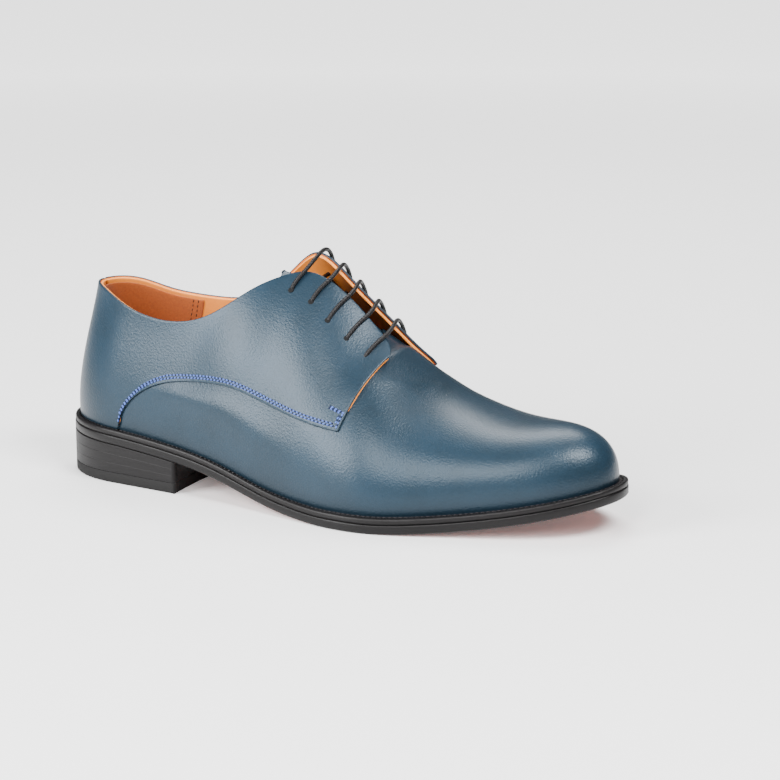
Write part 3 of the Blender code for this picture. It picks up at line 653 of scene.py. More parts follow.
def relief(side, station, rise):
    """Height of the leather's troughs and ridges at stations and rises of one side."""
    place = np.stack([station * shoe_length, rise * SECTION_LENGTH], 1)
    total = np.zeros(len(place))
    for crease_side, knots, reach, height in CREASES:
        if crease_side != side:
            continue
        knots = np.array(knots) * (shoe_length, SECTION_LENGTH)
        run = run_of(knots)
        least = np.full(len(place), np.inf)
        gone = np.zeros(len(place))
        for k, (start, end) in enumerate(zip(knots, knots[1:])):
            way = end - start
            t = np.clip((place - start) @ way / (way @ way), 0, 1)
            distance = np.linalg.norm(place - start - t[:, None] * way, axis=1)
            gone = np.where(distance < least, (run[k] + t * (run[k + 1] - run[k])) / run[-1], gone)
            least = np.minimum(least, distance)
        fading = ease(gone, 0, CREASE_FADING) * (1 - ease(gone, 1 - CREASE_FADING, 1))
        total += height * fading * np.exp(-(least / reach)**2)
    return total


def shaped(side, share, rise, point):
    """Points moved out of the wall by its troughs and ridges."""
    height = relief(side, feather(side, share)[:, 0] / shoe_length, rise)
    angle = rise * np.pi / 2
    return point + height[:, None] * np.stack([0 * angle, side * np.cos(angle), np.sin(angle)], 1)


def surface(side, share, rise, piece):
    """Points of a piece. Under the quarters the vamp follows them."""
    if piece == "tongue":
        return section(side, share, rise, piece)
    if piece == "quarter":
        return shaped(side, share, rise, section(side, share, rise, piece))
    station = feather(side, share)[:, 0] / shoe_length
    ahead = ease(station - front_edge_station(rise), 0, VAMP_SPREAD)
    over = ease(rise, *VAMP_CREST_RISE) * ease(station, *TOP_BLEND)
    share_of_vamp = np.maximum(ahead, over)[:, None]
    under = section(side, share, rise, "quarter")
    point = under + (section(side, share, rise, "vamp") - under) * share_of_vamp
    return shaped(side, share, rise, point)


def wall(side, share, rise, piece):
    """Points and outward normals of a grid on the wall, in the shoe's frame."""
    shape = share.shape + (3,)
    share = share.ravel()
    rise = rise.ravel()
    step = 0.0005

    def at(more_share, more_rise):
        return surface(side, np.clip(share + more_share, 0, 1),
                       np.clip(rise + more_rise, 0, 1), piece)
    point = at(0, 0)
    normal = np.cross(at(step, 0) - at(-step, 0), at(0, step) - at(0, -step)) * (-side)
    end = (share <= 0) | (share >= 1)
    normal[end, 1] = 0
    normal[rise <= 0, 2] = 0
    if piece != "quarter":
        top = (rise >= 1) & (share > share_at(side, TONGUE_TOP - 0.01))
        rate = crest_rate(point[top, 0])
        normal[top] = np.stack([-rate, 0 * rate, 0 * rate + 1], 1)
    return (point + SHIFT).reshape(shape), unit(normal).reshape(shape)


# Meshes

def linked(name, data):
    """Object with this data, in the scene."""
    made = bpy.data.objects.new(name, data)
    bpy.context.scene.collection.objects.link(made)
    return made


def face_outwards(mesh, weld):
    """Turn the mesh's faces outwards; doubled points are welded first where asked."""
    work = bmesh.new()
    work.from_mesh(mesh)
    if weld:
        bmesh.ops.remove_doubles(work, verts=work.verts, dist=1e-7)
        bmesh.ops.recalc_face_normals(work, faces=work.faces)
    if work.calc_volume(signed=True) < 0:
        bmesh.ops.reverse_faces(work, faces=work.faces)
    work.to_mesh(mesh)
    work.free()
    mesh.shade_smooth()


def make_mesh(name, points, faces, finishes, slots=None):
    """Mesh object with smooth faces that point outwards."""
    mesh = bpy.data.meshes.new(name)
    mesh.from_pydata(np.asarray(points, float).tolist(), [], [list(map(int, f)) for f in faces])
    for finish in finishes:
        mesh.materials.append(finish)
    if slots is not None:
        mesh.polygons.foreach_set("material_index", np.asarray(slots, np.int32))
    face_outwards(mesh, weld=True)
    return linked(name, mesh)


def grid_faces(rows, across, first=0):
    a = (np.arange(rows - 1)[:, None] * across + np.arange(across - 1)[None, :]).ravel() + first
    return np.stack([a, a + across, a + across + 1, a + 1], 1)


def border_of(rows, across):
    """Grid places round the border, in order."""
    ring = [(i, 0) for i in range(rows)]
    ring += [(rows - 1, j) for j in range(1, across)]
    ring += [(i, across - 1) for i in range(rows - 2, -1, -1)]
    ring += [(0, j) for j in range(across - 2, 0, -1)]
    return np.array(ring)


def rim_line(face, back, normal, out, roll):
    """Points round the edge of a sheet, from its face to its back."""
    out = unit(out - normal * np.sum(out * normal, 1, keepdims=True))
    middle = (face + back) / 2
    half = np.linalg.norm(face - back, axis=1, keepdims=True) / 2
    loops = []
    for turn in RIM_TURNS[::-1]:
        angle = np.radians(turn)
        loops.append(middle + normal * half * np.sin(angle)
                     + out * half * 2 * roll * np.cos(angle))
    return loops


def sheet(face, back, normal, chain, out, roll, first=0):
    """Points, faces and slots of a sheet: its face, its back and a rim along a chain of places.

    First is how many points come before its own."""
    rows, across = face.shape[:2]
    size = rows * across
    i, j = chain.T
    rim = rim_line(face[i, j], back[i, j], normal[i, j], out, roll)
    faces = [grid_faces(rows, across, first), grid_faces(rows, across, first + size)[:, ::-1]]
    slots = [np.zeros(len(faces[0])), np.ones(len(faces[1]))]
    flat = first + i * across + j
    count = len(chain)
    names = [flat]
    names += [first + 2 * size + k * count + np.arange(count) for k in range(len(rim))]
    names.append(flat + size)
    for low, high in zip(names, names[1:]):
        faces.append(np.stack([low[:-1], low[1:], high[1:], high[:-1]], 1))
        slots.append(np.full(count - 1, 2))
    return [face.reshape(-1, 3), back.reshape(-1, 3)] + rim, faces, slots


def leather(name, grid, normal, outer, inner, finishes, roll):
    """Sheet of leather between two offsets of a grid, with a rolled edge.

    The finishes are those of the face, the back and the edge. Roll is how far the edge bulges,
    by the thickness."""
    rows, across = grid.shape[:2]
    ring = border_of(rows, across)
    ring = np.vstack([ring, ring[:1]])
    i, j = ring.T
    out = grid[i, j] - grid[np.clip(i, 1, rows - 2), np.clip(j, 1, across - 2)]
    face = grid + normal * outer
    points, faces, slots = sheet(face, grid + normal * inner, normal, ring, out, roll)
    return make_mesh(name, np.vstack(points), np.vstack(faces), finishes, np.concatenate(slots))


# The pieces of the upper

def seam_line(shares):
    """Station and rise of the quarters' lower edge at shares along it."""
    station = smooth(SEAM["share"], SEAM["station"])(shares)
    return station, smooth(SEAM["share"], SEAM["rise"])(shares)


def quarter_places(side):
    """Shares and rises over one quarter, from the heel's back to the front edge."""
    back = np.linspace(0, 1, QUARTER_BACK, endpoint=False)
    station, rise = seam_line(np.linspace(0, 1, QUARTER_COLUMNS))
    low_share = np.concatenate([back * share_at(side, SEAM["station"][0]), share_at(side, station)])
    low_rise = np.concatenate([np.zeros(QUARTER_BACK), rise])
    corner_station, corner_rise = FACING_FRONT[side]
    corner = share_at(side, corner_station)
    turn = share_at(side, corner_station - FACING_TURN[side])
    above_seam = share_at(side, ABOVE_SEAM)
    ahead = corner - (corner - above_seam) * np.linspace(1, 0, QUARTER_COLUMNS)**FRONT_CROWDING
    top_share = np.concatenate([back * above_seam, ahead])
    bend = np.clip((top_share - turn) / (corner - turn), 0, 1)
    top_rise = 1 - (1 - corner_rise) * (1 - np.sqrt(1 - bend**2))
    t = np.linspace(0, 1, QUARTER_ROWS)[None, :]
    return (low_share[:, None] * (1 - t) + top_share[:, None] * t,
            low_rise[:, None] * (1 - t) + top_rise[:, None] * t)


def distance_from(grid, border):
    """Distance of each grid point from the last column or last row, along the grid."""
    if border == "top":
        step = np.linalg.norm(np.diff(grid, axis=1), axis=2)
        return np.c_[np.cumsum(step[:, ::-1], 1)[:, ::-1], np.zeros(len(grid))]
    step = np.linalg.norm(np.diff(grid, axis=0), axis=2)
    return np.vstack([np.cumsum(step[::-1], 0)[::-1], np.zeros(grid.shape[1])])


def on_line(line, up, distance):
    """Point on the outer face of the quarter and normal, at a length along a line of its grid."""
    run = run_of(line)
    normal = unit(along(up, run, [distance])[0])
    return along(line, run, [distance])[0] + normal * quarter_leather, normal


class Quarter:
    """One side's quarter: its grid, and the lift of its free edges off the vamp."""

    def __init__(self, side):
        self.share, self.rise = quarter_places(side)
        self.grid, self.normal = wall(side, self.share, self.rise, "quarter")
        from_front = distance_from(self.grid, "front")
        from_top = distance_from(self.grid, "top")
        free = ease(np.linspace(0, 1, QUARTER_ROWS)[None, :], *FRONT_LIFT_UP)
        facing = ease(self.share, *share_at(side, FACING_LIFT_FROM))
        self.lift = (FRONT_LIFT * free * np.exp(-(from_front / LIFT_REACH)**2)
                     + FACING_LIFT * facing * np.exp(-(from_top / LIFT_REACH)**2))
        self.grid = self.grid + self.normal * self.lift[..., None]

    def at_distance(self, column, distance):
        """Point and normal on a column at a distance above the lower edge."""
        return on_line(self.grid[column], self.normal[column], distance)

    def at_front(self, row, distance):
        """Point and normal on a row at a distance behind the front edge."""
        return on_line(self.grid[::-1, row], self.normal[::-1, row], distance)


QUARTER = {side: Quarter(side) for side in SIDES}


def joined(sheets):
    """Grid and normals in one: lateral columns from the front to the back, then medial ones."""
    grid, normal = (np.concatenate([sheets[LATERAL][k][::-1], sheets[MEDIAL][k][1:]])
                    for k in (0, 1))
    return grid, unit(normal)


def seam_rise_at(station):
    """Height up the section of the quarters' lower edge at a station."""
    return np.interp(station, *seam_line(np.linspace(0, 1, SEAM_POINTS)))


def vamp_top(station):
    """Height up the section at which the vamp ends, under the quarters or on the crest."""
    under = seam_rise_at(station) + VAMP_UNDERLAP
    return under + (1 - under) * ease(station, *VAMP_CLIMB)


def vamp_stations():
    """Stations of the vamp's columns, the same on both sides, with one at the throat."""
    start = share_at(LATERAL, SEAM["station"][0] - VAMP_BEHIND)
    share = start + (1 - start) * np.linspace(0, 1, VAMP_COLUMNS)
    station = feather(LATERAL, share)[:, 0] / shoe_length
    throat = abs(station - THROAT).argmin()
    station[throat] = THROAT
    return station, throat


def vamp_half(side, station):
    """Grid, normals and thickness of one side of the vamp, from its hidden back end to the toe."""
    share = share_at(side, station)
    share[-1] = 1
    rise = np.minimum(vamp_top(station), 1)[:, None] * np.linspace(0, 1, VAMP_ROWS)[None, :]
    grid, normal = wall(side, np.repeat(share[:, None], VAMP_ROWS, 1), rise, "vamp")
    covered = ease(rise - seam_rise_at(station)[:, None], *SKIVED_ABOVE_SEAM)
    behind = station[:, None] - front_edge_station(rise)
    covered = covered * (1 - ease(behind, *SKIVED_BEHIND_FRONT))
    grid = grid - normal * (covered * lining_leather)[..., None]
    return grid, normal, vamp_wall - (vamp_wall - SKIVED) * covered


def make_vamp(finishes):
    """Long plain vamp: two halves that share the toe's middle line and the crest."""
    station, throat = vamp_stations()
    halves = {side: vamp_half(side, station) for side in SIDES}
    for k in (0, 1):
        lateral = halves[LATERAL][k]
        medial = halves[MEDIAL][k]
        for place in (np.s_[-1], np.s_[throat:, -1]):
            both = (lateral[place] + medial[place]) / 2
            lateral[place] = both
            medial[place] = both
    points = []
    faces = []
    slots = []
    first = 0
    for grid, normal, thick in halves.values():
        normal = unit(normal)
        rows, across = thick.shape
        chain = [(i, 0) for i in range(rows - 1, -1, -1)]
        chain += [(0, j) for j in range(1, across)]
        chain += [(i, across - 1) for i in range(1, throat + 1)]
        chain = np.array(chain)
        i, j = chain.T
        out = grid[i, j] - grid[np.maximum(i, 1), np.clip(j, 1, across - 2)]
        out[0] = (0, 0, -1)
        out[-1] = grid[throat, -1] - grid[throat + 1, -1]
        back = grid - normal * thick[..., None]
        half = sheet(grid, back, normal, chain, out, 0.5, first)
        points += half[0]
        faces += half[1]
        slots += half[2]
        first += sum(len(part) for part in half[0])
    return make_mesh("vamp", np.vstack(points), np.vstack(faces), finishes, np.concatenate(slots))


def make_quarters(finishes):
    """Both quarters in one sheet round the heel, a step above the vamp."""
    grid, normal = joined({side: (one.grid, one.normal) for side, one in QUARTER.items()})
    return leather("quarters", grid, normal, quarter_leather, 0.0, finishes, roll=0.3)


def make_lining(finishes):
    """Leather lining of the quarters, a little below the collar and flush with the facings."""
    sheets = {}
    for side, quarter in QUARTER.items():
        up = np.linspace(0, 1, QUARTER_ROWS)[None, :]
        up = up + (1 - up) * LINING_START
        facing = ease(quarter.share[:, -1:], *share_at(side, LINING_FLUSH))
        drop = (1 - facing) * COLLAR_DROP / instep_height
        share = quarter.share[:, :1] * (1 - up) + quarter.share[:, -1:] * up
        rise = quarter.rise[:, :1] * (1 - up) + (quarter.rise[:, -1:] - drop) * up
        grid, normal = wall(side, share, rise, "quarter")
        gap = LINING_GAP + (FACING_GAP - LINING_GAP) * facing * ease(up, *FACING_GAP_UP)
        sheets[side] = (grid + normal * (quarter.lift - gap)[..., None], normal)
    grid, normal = joined(sheets)
    return leather("quarter_lining", grid[::2], normal[::2], 0.0, -lining_leather, finishes, roll=0.35)


def make_heel_pocket(finishes):
    """Suede pocket round the inside of the heel, its top edge below the lining's."""
    sheets = {}
    for side in SIDES:
        front = share_at(side, POCKET_FRONT)
        share = np.linspace(0, 1, POCKET_COLUMNS)[:, None] * front
        up = np.linspace(0, 1, POCKET_HEIGHTS)[None, :]
        share = share + POCKET_SLANT * (up - 0.5) * ease(share, 0, front)
        rise = POCKET_LOW + (POCKET_TOP - POCKET_LOW) * up + 0 * share
        grid, normal = wall(side, share, rise, "quarter")
        sheets[side] = (grid - normal * (LINING_GAP + lining_leather), normal)
    grid, normal = joined(sheets)
    return leather("heel_pocket", grid, normal, 0.0, -pocket_leather, finishes, roll=0.3), sheets


def rises_below_top(side, shares, distances, piece):
    """Heights up the sections that lie at these distances below the sections' tops."""
    rises = SEARCHED_RISES
    points = section(side, np.repeat(shares, len(rises)), np.tile(rises, len(shares)), piece)
    left = distance_from(points.reshape(len(shares), len(rises), 3), "top")
    return np.array([np.interp(-there, -below, rises) for there, below in zip(distances, left)])


def make_tongue(finishes):
    """Strip over the crest, under the facings, its front lapped under the vamp."""
    along_tongue = np.linspace(0, 1, TONGUE_ROWS)**TONGUE_CROWDING
    stations = TONGUE_TOP + along_tongue * (THROAT + tongue_lap / shoe_length - TONGUE_TOP)
    from_top = along_tongue * (stations[-1] - stations[0]) * shoe_length
    half = tongue_half_width * (1 - TONGUE_TAPER * ease(along_tongue, *TONGUE_TAPER_OVER))
    half = half * (TONGUE_FLAT + (1 - TONGUE_FLAT) * round_end(from_top, tongue_round, 2))
    t = np.linspace(0, 1, TONGUE_ACROSS)[None, :]
    sides = {}
    for side in SIDES:
        share = share_at(side, stations)
        low = rises_below_top(side, share, half, "tongue")[:, None]
        share = np.repeat(share[:, None], TONGUE_ACROSS, 1)
        sides[side] = wall(side, share, low * (1 - t) + t, "tongue")
    both = []
    for k in (0, 1):
        lateral = sides[LATERAL][k]
        medial = sides[MEDIAL][k]
        crest = (lateral[:, -1:] + medial[:, -1:]) / 2
        both.append(np.concatenate([lateral[:, :-1], crest, medial[:, -2::-1]], axis=1))
    grid, normal = both
    grid[..., 2] -= tongue_droop * (1 - ease(from_top, 0, tongue_round))[:, None]
    top = -(vamp_wall + fit_gap)
    bottom = top - tongue_thickness
    return leather("tongue_leather", grid, unit(normal), top, bottom, finishes, roll=0.4)


# The sole's pieces

def strips(rows, distance, across):
    """Cross strips of the sole's outline, moved inwards."""
    loop = inset(sole_loop(rows), distance)
    count = len(rows)
    loop[0, 1] = 0
    loop[count - 1, 1] = 0
    lateral = loop[:count]
    medial = np.vstack([loop[:1], loop[count - 1:][::-1]])
    t = np.linspace(0, 1, across)[None, :, None]
    return lateral[:, None] * (1 - t) + medial[:, None] * t


def stacked(name, levels, finishes, bottom=0):
    """Closed plate from grids of the same size, lowest first, joined round their border.

    Bottom is the slot of the underside's finish."""
    rows, across = levels[0].shape[:2]
    size = rows * across
    ring = border_of(rows, across)
    border = ring[:, 0] * across + ring[:, 1]
    faces = [grid_faces(rows, across)[:, ::-1], grid_faces(rows, across, (len(levels) - 1) * size)]
    slots = [np.full(len(faces[0]), bottom), np.zeros(len(faces[1]))]
    for level in range(len(levels) - 1):
        low = level * size + border
        high = low + size
        faces.append(np.stack([low, np.roll(low, -1), np.roll(high, -1), high], 1))
        slots.append(np.zeros(len(low)))
    points = np.vstack([level.reshape(-1, 3) for level in levels]) + SHIFT
    used = np.unique(np.concatenate([face.ravel() for face in faces]))
    renamed = np.zeros(len(points), int)
    renamed[used] = np.arange(len(used))
    return make_mesh(name, points[used], renamed[np.vstack(faces)], finishes, np.concatenate(slots))


def make_outsole(finishes):
    """Outsole of even thickness, with a burnished edge."""
    rows = crowded_rows(SOLE_ROWS)
    levels = []
    for share, distance in OUTSOLE_EDGE:
        plan = strips(rows, distance, SOLE_ACROSS)
        height = underside(plan[..., 0]) + share * outsole_thickness
        levels.append(np.dstack([plan, height]))
    return stacked("sole", levels, finishes, bottom=1)


def make_insole(finishes):
    """Sock on the insole, a little cupped where it meets the lining."""
    rows = crowded_rows(SOCK_ROWS)
    loop = sole_loop(rows)
    distance = LEDGE_AT(loop[:, 0] / shoe_length) + vamp_wall + 3 * fit_gap
    plan = strips(rows, distance, SOCK_ACROSS)
    across = np.linspace(-1, 1, SOCK_ACROSS)[None, :]
    cup = insole_cup * ease(abs(across), CUP_FROM, 1) * ease(plan[..., 0], 0, CUP_HEEL)
    bottom = np.dstack([plan, welt_bottom(plan[..., 0])])
    top = np.dstack([plan, welt_bottom(plan[..., 0]) + insole_thickness + cup])
    return stacked("sock", [bottom, top], finishes)


def make_welt(finishes):
    """Welt right round the shoe, with a rounded shoulder and a furrow for its stitches."""
    outline = sole_loop(crowded_rows(WELT_ROWS))
    ledge = LEDGE_AT(outline[:, 0] / shoe_length)
    profile = list(WELT_SHOULDER) + [(ledge + distance, drop) for distance, drop in WELT_FURROW]
    loops = []
    for distance, drop in profile:
        plan = inset(outline, distance)
        loops.append(np.c_[plan, welt_top(plan[:, 0]) + drop] + SHIFT)
    count = len(outline)
    faces = []
    for k in range(len(loops)):
        low = k * count + np.arange(count)
        high = (k + 1) % len(loops) * count + np.arange(count)
        faces.append(np.stack([low, np.roll(low, -1), np.roll(high, -1), high], 1))
    return make_mesh("welt_ring", np.vstack(loops), np.vstack(faces), finishes)


def heel_strips(distance, height):
    """Cross strips of the heel, whose breast is a little hollow."""
    rows = heel_length * (1 - np.cos(np.linspace(0, np.pi, HEEL_ROWS))) / 2
    half = HEEL_ROWS // 2
    rows = np.concatenate([rows[:half], np.linspace(rows[half], heel_length, HEEL_BREAST_ROWS)])
    lateral = np.stack([rows, -half_width(rows, LATERAL)], 1)
    medial = np.stack([rows, half_width(rows, MEDIAL)], 1)
    loop = inset(np.vstack([lateral, medial[:0:-1]]), distance)
    lateral = loop[:len(rows)]
    medial = np.vstack([loop[:1], loop[len(rows):][::-1]])
    lateral[0, 1] = 0
    medial[0, 1] = 0
    lateral[-1, 0] = heel_length
    medial[-1, 0] = heel_length
    t = np.linspace(0, 1, HEEL_ACROSS)[None, :, None]
    grid = lateral[:, None] * (1 - t) + medial[:, None] * t
    bow = 1 - (2 * t[..., 0] - 1)**2
    grid[..., 0] -= breast_hollow * bow * (grid[..., 0] / heel_length)**4
    return np.dstack([grid, height(grid[..., 0])])


def make_heel(finishes):
    """Stack of lifts, each with a fine line where it meets the next, and the top piece."""
    floor = top_piece_thickness + fit_gap / 3

    def at(share):
        return lambda x: floor + share * (underside(x) - fit_gap / 3 - floor)
    slit = lift_line / heel_rise
    marks = [(0.0, lift_line), (2 * slit, 0.0), (4 * slit, 0.0)]
    for lift in range(1, lift_count):
        middle = lift / lift_count
        marks += [(middle - 3 * slit, 0.0), (middle - slit, 0.0), (middle, lift_line)]
        marks += [(middle + slit, 0.0), (middle + 3 * slit, 0.0)]
    marks += [(1 - 3 * slit, 0.0), (1.0, 0.0)]
    levels = [heel_strips(inset_by, at(share)) for share, inset_by in marks]
    stack = stacked("heel_lifts", levels, [finishes[0]])
    tread = [heel_strips(inset_by, lambda x: np.full_like(x, height))
             for inset_by, height in TREAD_EDGE]
    return stack, stacked("heel_top", tread, [finishes[1]])


# Laces

def camera_axes():
    """The camera's directions to the right, up and ahead."""
    turn = np.radians(CAMERA_TURN)
    rise = np.radians(CAMERA_RISE)
    ahead = np.array([-np.sin(turn) * np.cos(rise), np.cos(turn) * np.cos(rise), -np.sin(rise)])
    right = np.array([np.cos(turn), np.sin(turn), 0.0])
    return right, np.cross(right, ahead), ahead


def eyelet_row(side):
    """Shares and rises of the eyelets of one side, evenly spaced."""
    shares = share_at(side, np.linspace(*EYELET_RANGE[side], ROW_POINTS))
    leaving = ease(np.linspace(0, 1, ROW_POINTS), 0, 0.5)
    setback = eyelet_setback_top + (eyelet_setback_front - eyelet_setback_top) * leaving
    spot = rises_below_top(side, shares, setback, "quarter")
    length = run_of(section(side, shares, spot, "quarter"))
    even = np.linspace(0, length[-1], eyelet_count)
    return np.interp(even, length, shares), np.interp(even, length, spot)


def crossings(side, own, other):
    """Shares of the side at which the bars between the eyelets cross its edge."""
    before, after = EDGE_BEYOND
    stations = np.linspace(EYELET_RANGE[side][0] - before, FACING_FRONT[side][0] + after, EDGE_POINTS)
    edge_share = share_at(side, stations)
    edge = section(side, edge_share, np.ones(EDGE_POINTS), "quarter") + SHIFT

    def beside(across, up):
        """Distance of the edge from each bar, in the plane of two directions."""
        plane = np.stack([across, up], 1)
        gap = (edge[None] - own[:, None]) @ plane
        bar = (other - own) @ plane
        return abs(gap[..., 0] * bar[:, None, 1] - gap[..., 1] * bar[:, None, 0]), gap[..., 0]

    off, ahead = beside((1, 0, 0), (0, 1, 0))
    straight = edge_share[off.argmin(1)]
    if side == MEDIAL:
        return straight
    off, ahead = beside(*camera_axes()[:2])
    off = np.where(ahead > 0, off, np.inf)
    return straight + (edge_share[off.argmin(1)] - straight) * LACE_LEAN


def on_quarter(side, share, rise):
    """Points and normals on the quarter's outer leather."""
    share = np.atleast_1d(share)[:, None]
    rise = np.atleast_1d(rise)[:, None]
    point, normal = wall(side, share, rise, "quarter")
    lift = FACING_LIFT * ease(rise, *FACING_LIFT_UP)[..., None]
    return (point + normal * (quarter_leather + lift))[:, 0], normal[:, 0]


def lace_path():
    """Bars over the facings, with slanting runs inside, and the free end led to the top."""
    eyes = {side: eyelet_row(side) for side in SIDES}
    seats = {side: on_quarter(side, *eyes[side]) for side in SIDES}
    edge = {side: crossings(side, seats[side][0], seats[-side][0]) for side in SIDES}
    radius = lace_diameter / 2
    inside = quarter_leather + lining_leather + radius
    deep = {side: point - normal * inside for side, (point, normal) in seats.items()}
    route = []
    for i in range(eyelet_count):
        halves = []
        for side in SIDES:
            share, rise = (row[i] for row in eyes[side])
            point, normal = on_quarter(side, share + (edge[side][i] - share) * LACE_STOPS,
                                       rise + (1 - rise) * LACE_STOPS)
            height = radius * LACE_HEIGHTS
            height = height + LACE_ARCH[side] * np.sin(np.pi * LACE_STOPS / 2)**1.5
            halves.append(np.vstack([deep[side][i], point + normal * height[:, None]]))
        route += [halves[0], halves[1][::-1]]
        if i + 1 < eyelet_count:
            across = (deep[MEDIAL][i] + deep[LATERAL][i + 1]) / 2
            crest = CREST_HEIGHT_AT((across[0] - SHIFT[0]) / shoe_length) * instep_height
            across[2] = crest - vamp_wall + radius
            route.append(across[None])
    last = deep[MEDIAL][::-1] - (0, 0, lace_diameter)
    route.append(last[1:])
    return np.vstack(route)


def tube(name, path, radius, finish, around=12, step=0.0006):
    """Round cord along a path, with a map of its turns and its length in metres."""
    run = run_of(path)
    keep = np.r_[True, np.diff(run) > 1e-5]
    run, path = run[keep], path[keep]
    even = np.linspace(0, run[-1], int(run[-1] / step))
    line = np.stack([smooth(run, path[:, k])(even) for k in range(3)], 1)
    ahead = unit(np.gradient(line, axis=0))
    side = np.zeros_like(ahead)
    side[0] = unit(np.cross(ahead[0], (0, 0, 1)))
    for k in range(1, len(line)):
        side[k] = unit(side[k - 1] - ahead[k] * np.dot(side[k - 1], ahead[k]))
    third = np.cross(ahead, side)
    angle = np.linspace(0, 2 * np.pi, around, endpoint=False)[None, :, None]
    ring = side[:, None] * np.cos(angle) + third[:, None] * np.sin(angle)
    points = (line[:, None] + ring * radius).reshape(-1, 3)
    count = len(line)
    i = np.arange(count - 1)[:, None] * around
    j = np.arange(around)[None, :]
    after = (j + 1) % around
    faces = np.stack([i + j, i + after, i + around + after, i + around + j], -1).reshape(-1, 4)
    faces = faces.tolist()
    faces.append(list(range(around))[::-1])
    faces.append([(count - 1) * around + k for k in range(around)])
    mesh = bpy.data.meshes.new(name)
    mesh.from_pydata(points.tolist(), [], faces)
    mesh.materials.append(finish)
    layer = mesh.uv_layers.new(name="along")
    values = np.zeros((len(mesh.loops), 2), np.float32)
    loops = np.zeros(len(mesh.loops), np.int32)
    mesh.loops.foreach_get("vertex_index", loops)
    values[:, 0] = loops % around / around
    values[:, 1] = even[loops // around]
    quads = np.arange((count - 1) * around)
    wraps = quads[quads % around == around - 1]
    for corner in (1, 2):
        values[wraps * 4 + corner, 0] = 1.0
    layer.data.foreach_set("uv", values.ravel())
    face_outwards(mesh, weld=False)
    return linked(name, mesh)


# Stitches and marks by Geometry Nodes

def node(tree, kind, inputs=None, **settings):
    """Node with its settings; an input takes a value or another node's output."""
    made = tree.nodes.new(kind)
    for name, value in settings.items():
        setattr(made, name, value)
    for socket, value in (inputs or {}).items():
        if isinstance(value, bpy.types.NodeSocket):
            tree.links.new(value, made.inputs[socket])
        else:
            made.inputs[socket].default_value = value
    return made


def calculated(tree, operation, *values):
    """Result of a math node on values or outputs."""
    return node(tree, "ShaderNodeMath", dict(enumerate(values)), operation=operation).outputs[0]


def stitch_tree(name, finish):
    """Tree that lays one thread on each point, along its row and flat on the leather."""
    tree = bpy.data.node_groups.new(name, "GeometryNodeTree")
    face = tree.interface
    face.new_socket("Geometry", in_out="INPUT", socket_type="NodeSocketGeometry")
    for label in ("Length", "Width", "Height", "Variation"):
        face.new_socket(label, in_out="INPUT", socket_type="NodeSocketFloat")
    face.new_socket("Geometry", in_out="OUTPUT", socket_type="NodeSocketGeometry")
    given = node(tree, "NodeGroupInput").outputs
    ahead, up = (node(tree, "GeometryNodeInputNamedAttribute", {"Name": label},
                      data_type="FLOAT_VECTOR").outputs["Attribute"] for label in ("ahead", "up"))
    turned = node(tree, "FunctionNodeAxesToRotation", {0: up, 1: ahead},
                  primary_axis="Z", secondary_axis="X")
    shape = node(tree, "GeometryNodeMeshUVSphere", {"Segments": 8, "Rings": 6, "Radius": 0.5})
    chance = node(tree, "FunctionNodeRandomValue", {
        "Min": calculated(tree, "SUBTRACT", 1.0, given["Variation"]),
        "Max": calculated(tree, "ADD", 1.0, given["Variation"]), "Seed": 7}, data_type="FLOAT")
    size = node(tree, "ShaderNodeCombineXYZ", {
        "X": given["Length"], "Y": given["Width"], "Z": given["Height"]})
    varied = node(tree, "ShaderNodeVectorMath",
                  {0: size.outputs[0], "Scale": chance.outputs[1]}, operation="SCALE")
    laid = node(tree, "GeometryNodeInstanceOnPoints", {
        "Points": given["Geometry"], "Instance": shape.outputs["Mesh"],
        "Rotation": turned.outputs[0], "Scale": varied.outputs[0]})
    real = node(tree, "GeometryNodeRealizeInstances", {"Geometry": laid.outputs[0]})
    dyed = node(tree, "GeometryNodeSetMaterial", {"Geometry": real.outputs[0], "Material": finish})
    node(tree, "NodeGroupOutput", {"Geometry": dyed.outputs[0]})
    return tree


def lay(name, tree, places, ahead, up, length, width, height, variation=0.06):
    """Threads or marks at the places, made a plain mesh."""
    mesh = bpy.data.meshes.new(name + "_places")
    mesh.from_pydata(places.tolist(), [], [])
    for label, vectors in (("ahead", ahead), ("up", up)):
        kept = mesh.attributes.new(label, "FLOAT_VECTOR", "POINT")
        kept.data.foreach_set("vector", np.asarray(vectors, np.float32).ravel())
    base = linked(name + "_places", mesh)
    change = base.modifiers.new("laid", "NODES")
    sizes = {"Length": length, "Width": width, "Height": height, "Variation": variation}
    change.node_group = tree
    for item in tree.interface.items_tree:
        if item.in_out == "INPUT" and item.name in sizes:
            change[item.identifier] = sizes[item.name]
    seen = base.evaluated_get(bpy.context.evaluated_depsgraph_get())
    plain = bpy.data.meshes.new_from_object(seen)
    base.modifiers.remove(change)
    bpy.data.objects.remove(base)
    plain.name = name
    plain.shade_smooth()
    return linked(name, plain)


def spaced(line, up, pitch, start=0.0):
    """Places at an even pitch along a line, with the line's directions and normals there."""
    run = run_of(line)
    places = np.arange(start, run[-1], pitch)
    ahead = unit(along(np.gradient(line, axis=0), run, places))
    return along(line, run, places), ahead, unit(along(up, run, places))


def slanted(ahead, up, degrees):
    """Directions turned about the normals."""
    angle = np.radians(degrees)
    return ahead * np.cos(angle) + np.cross(up, ahead) * np.sin(angle)


def row_of(spots):
    """Line and normals of a row, from its points with their normals."""
    line, up = zip(*spots)
    return np.array(line), np.array(up)


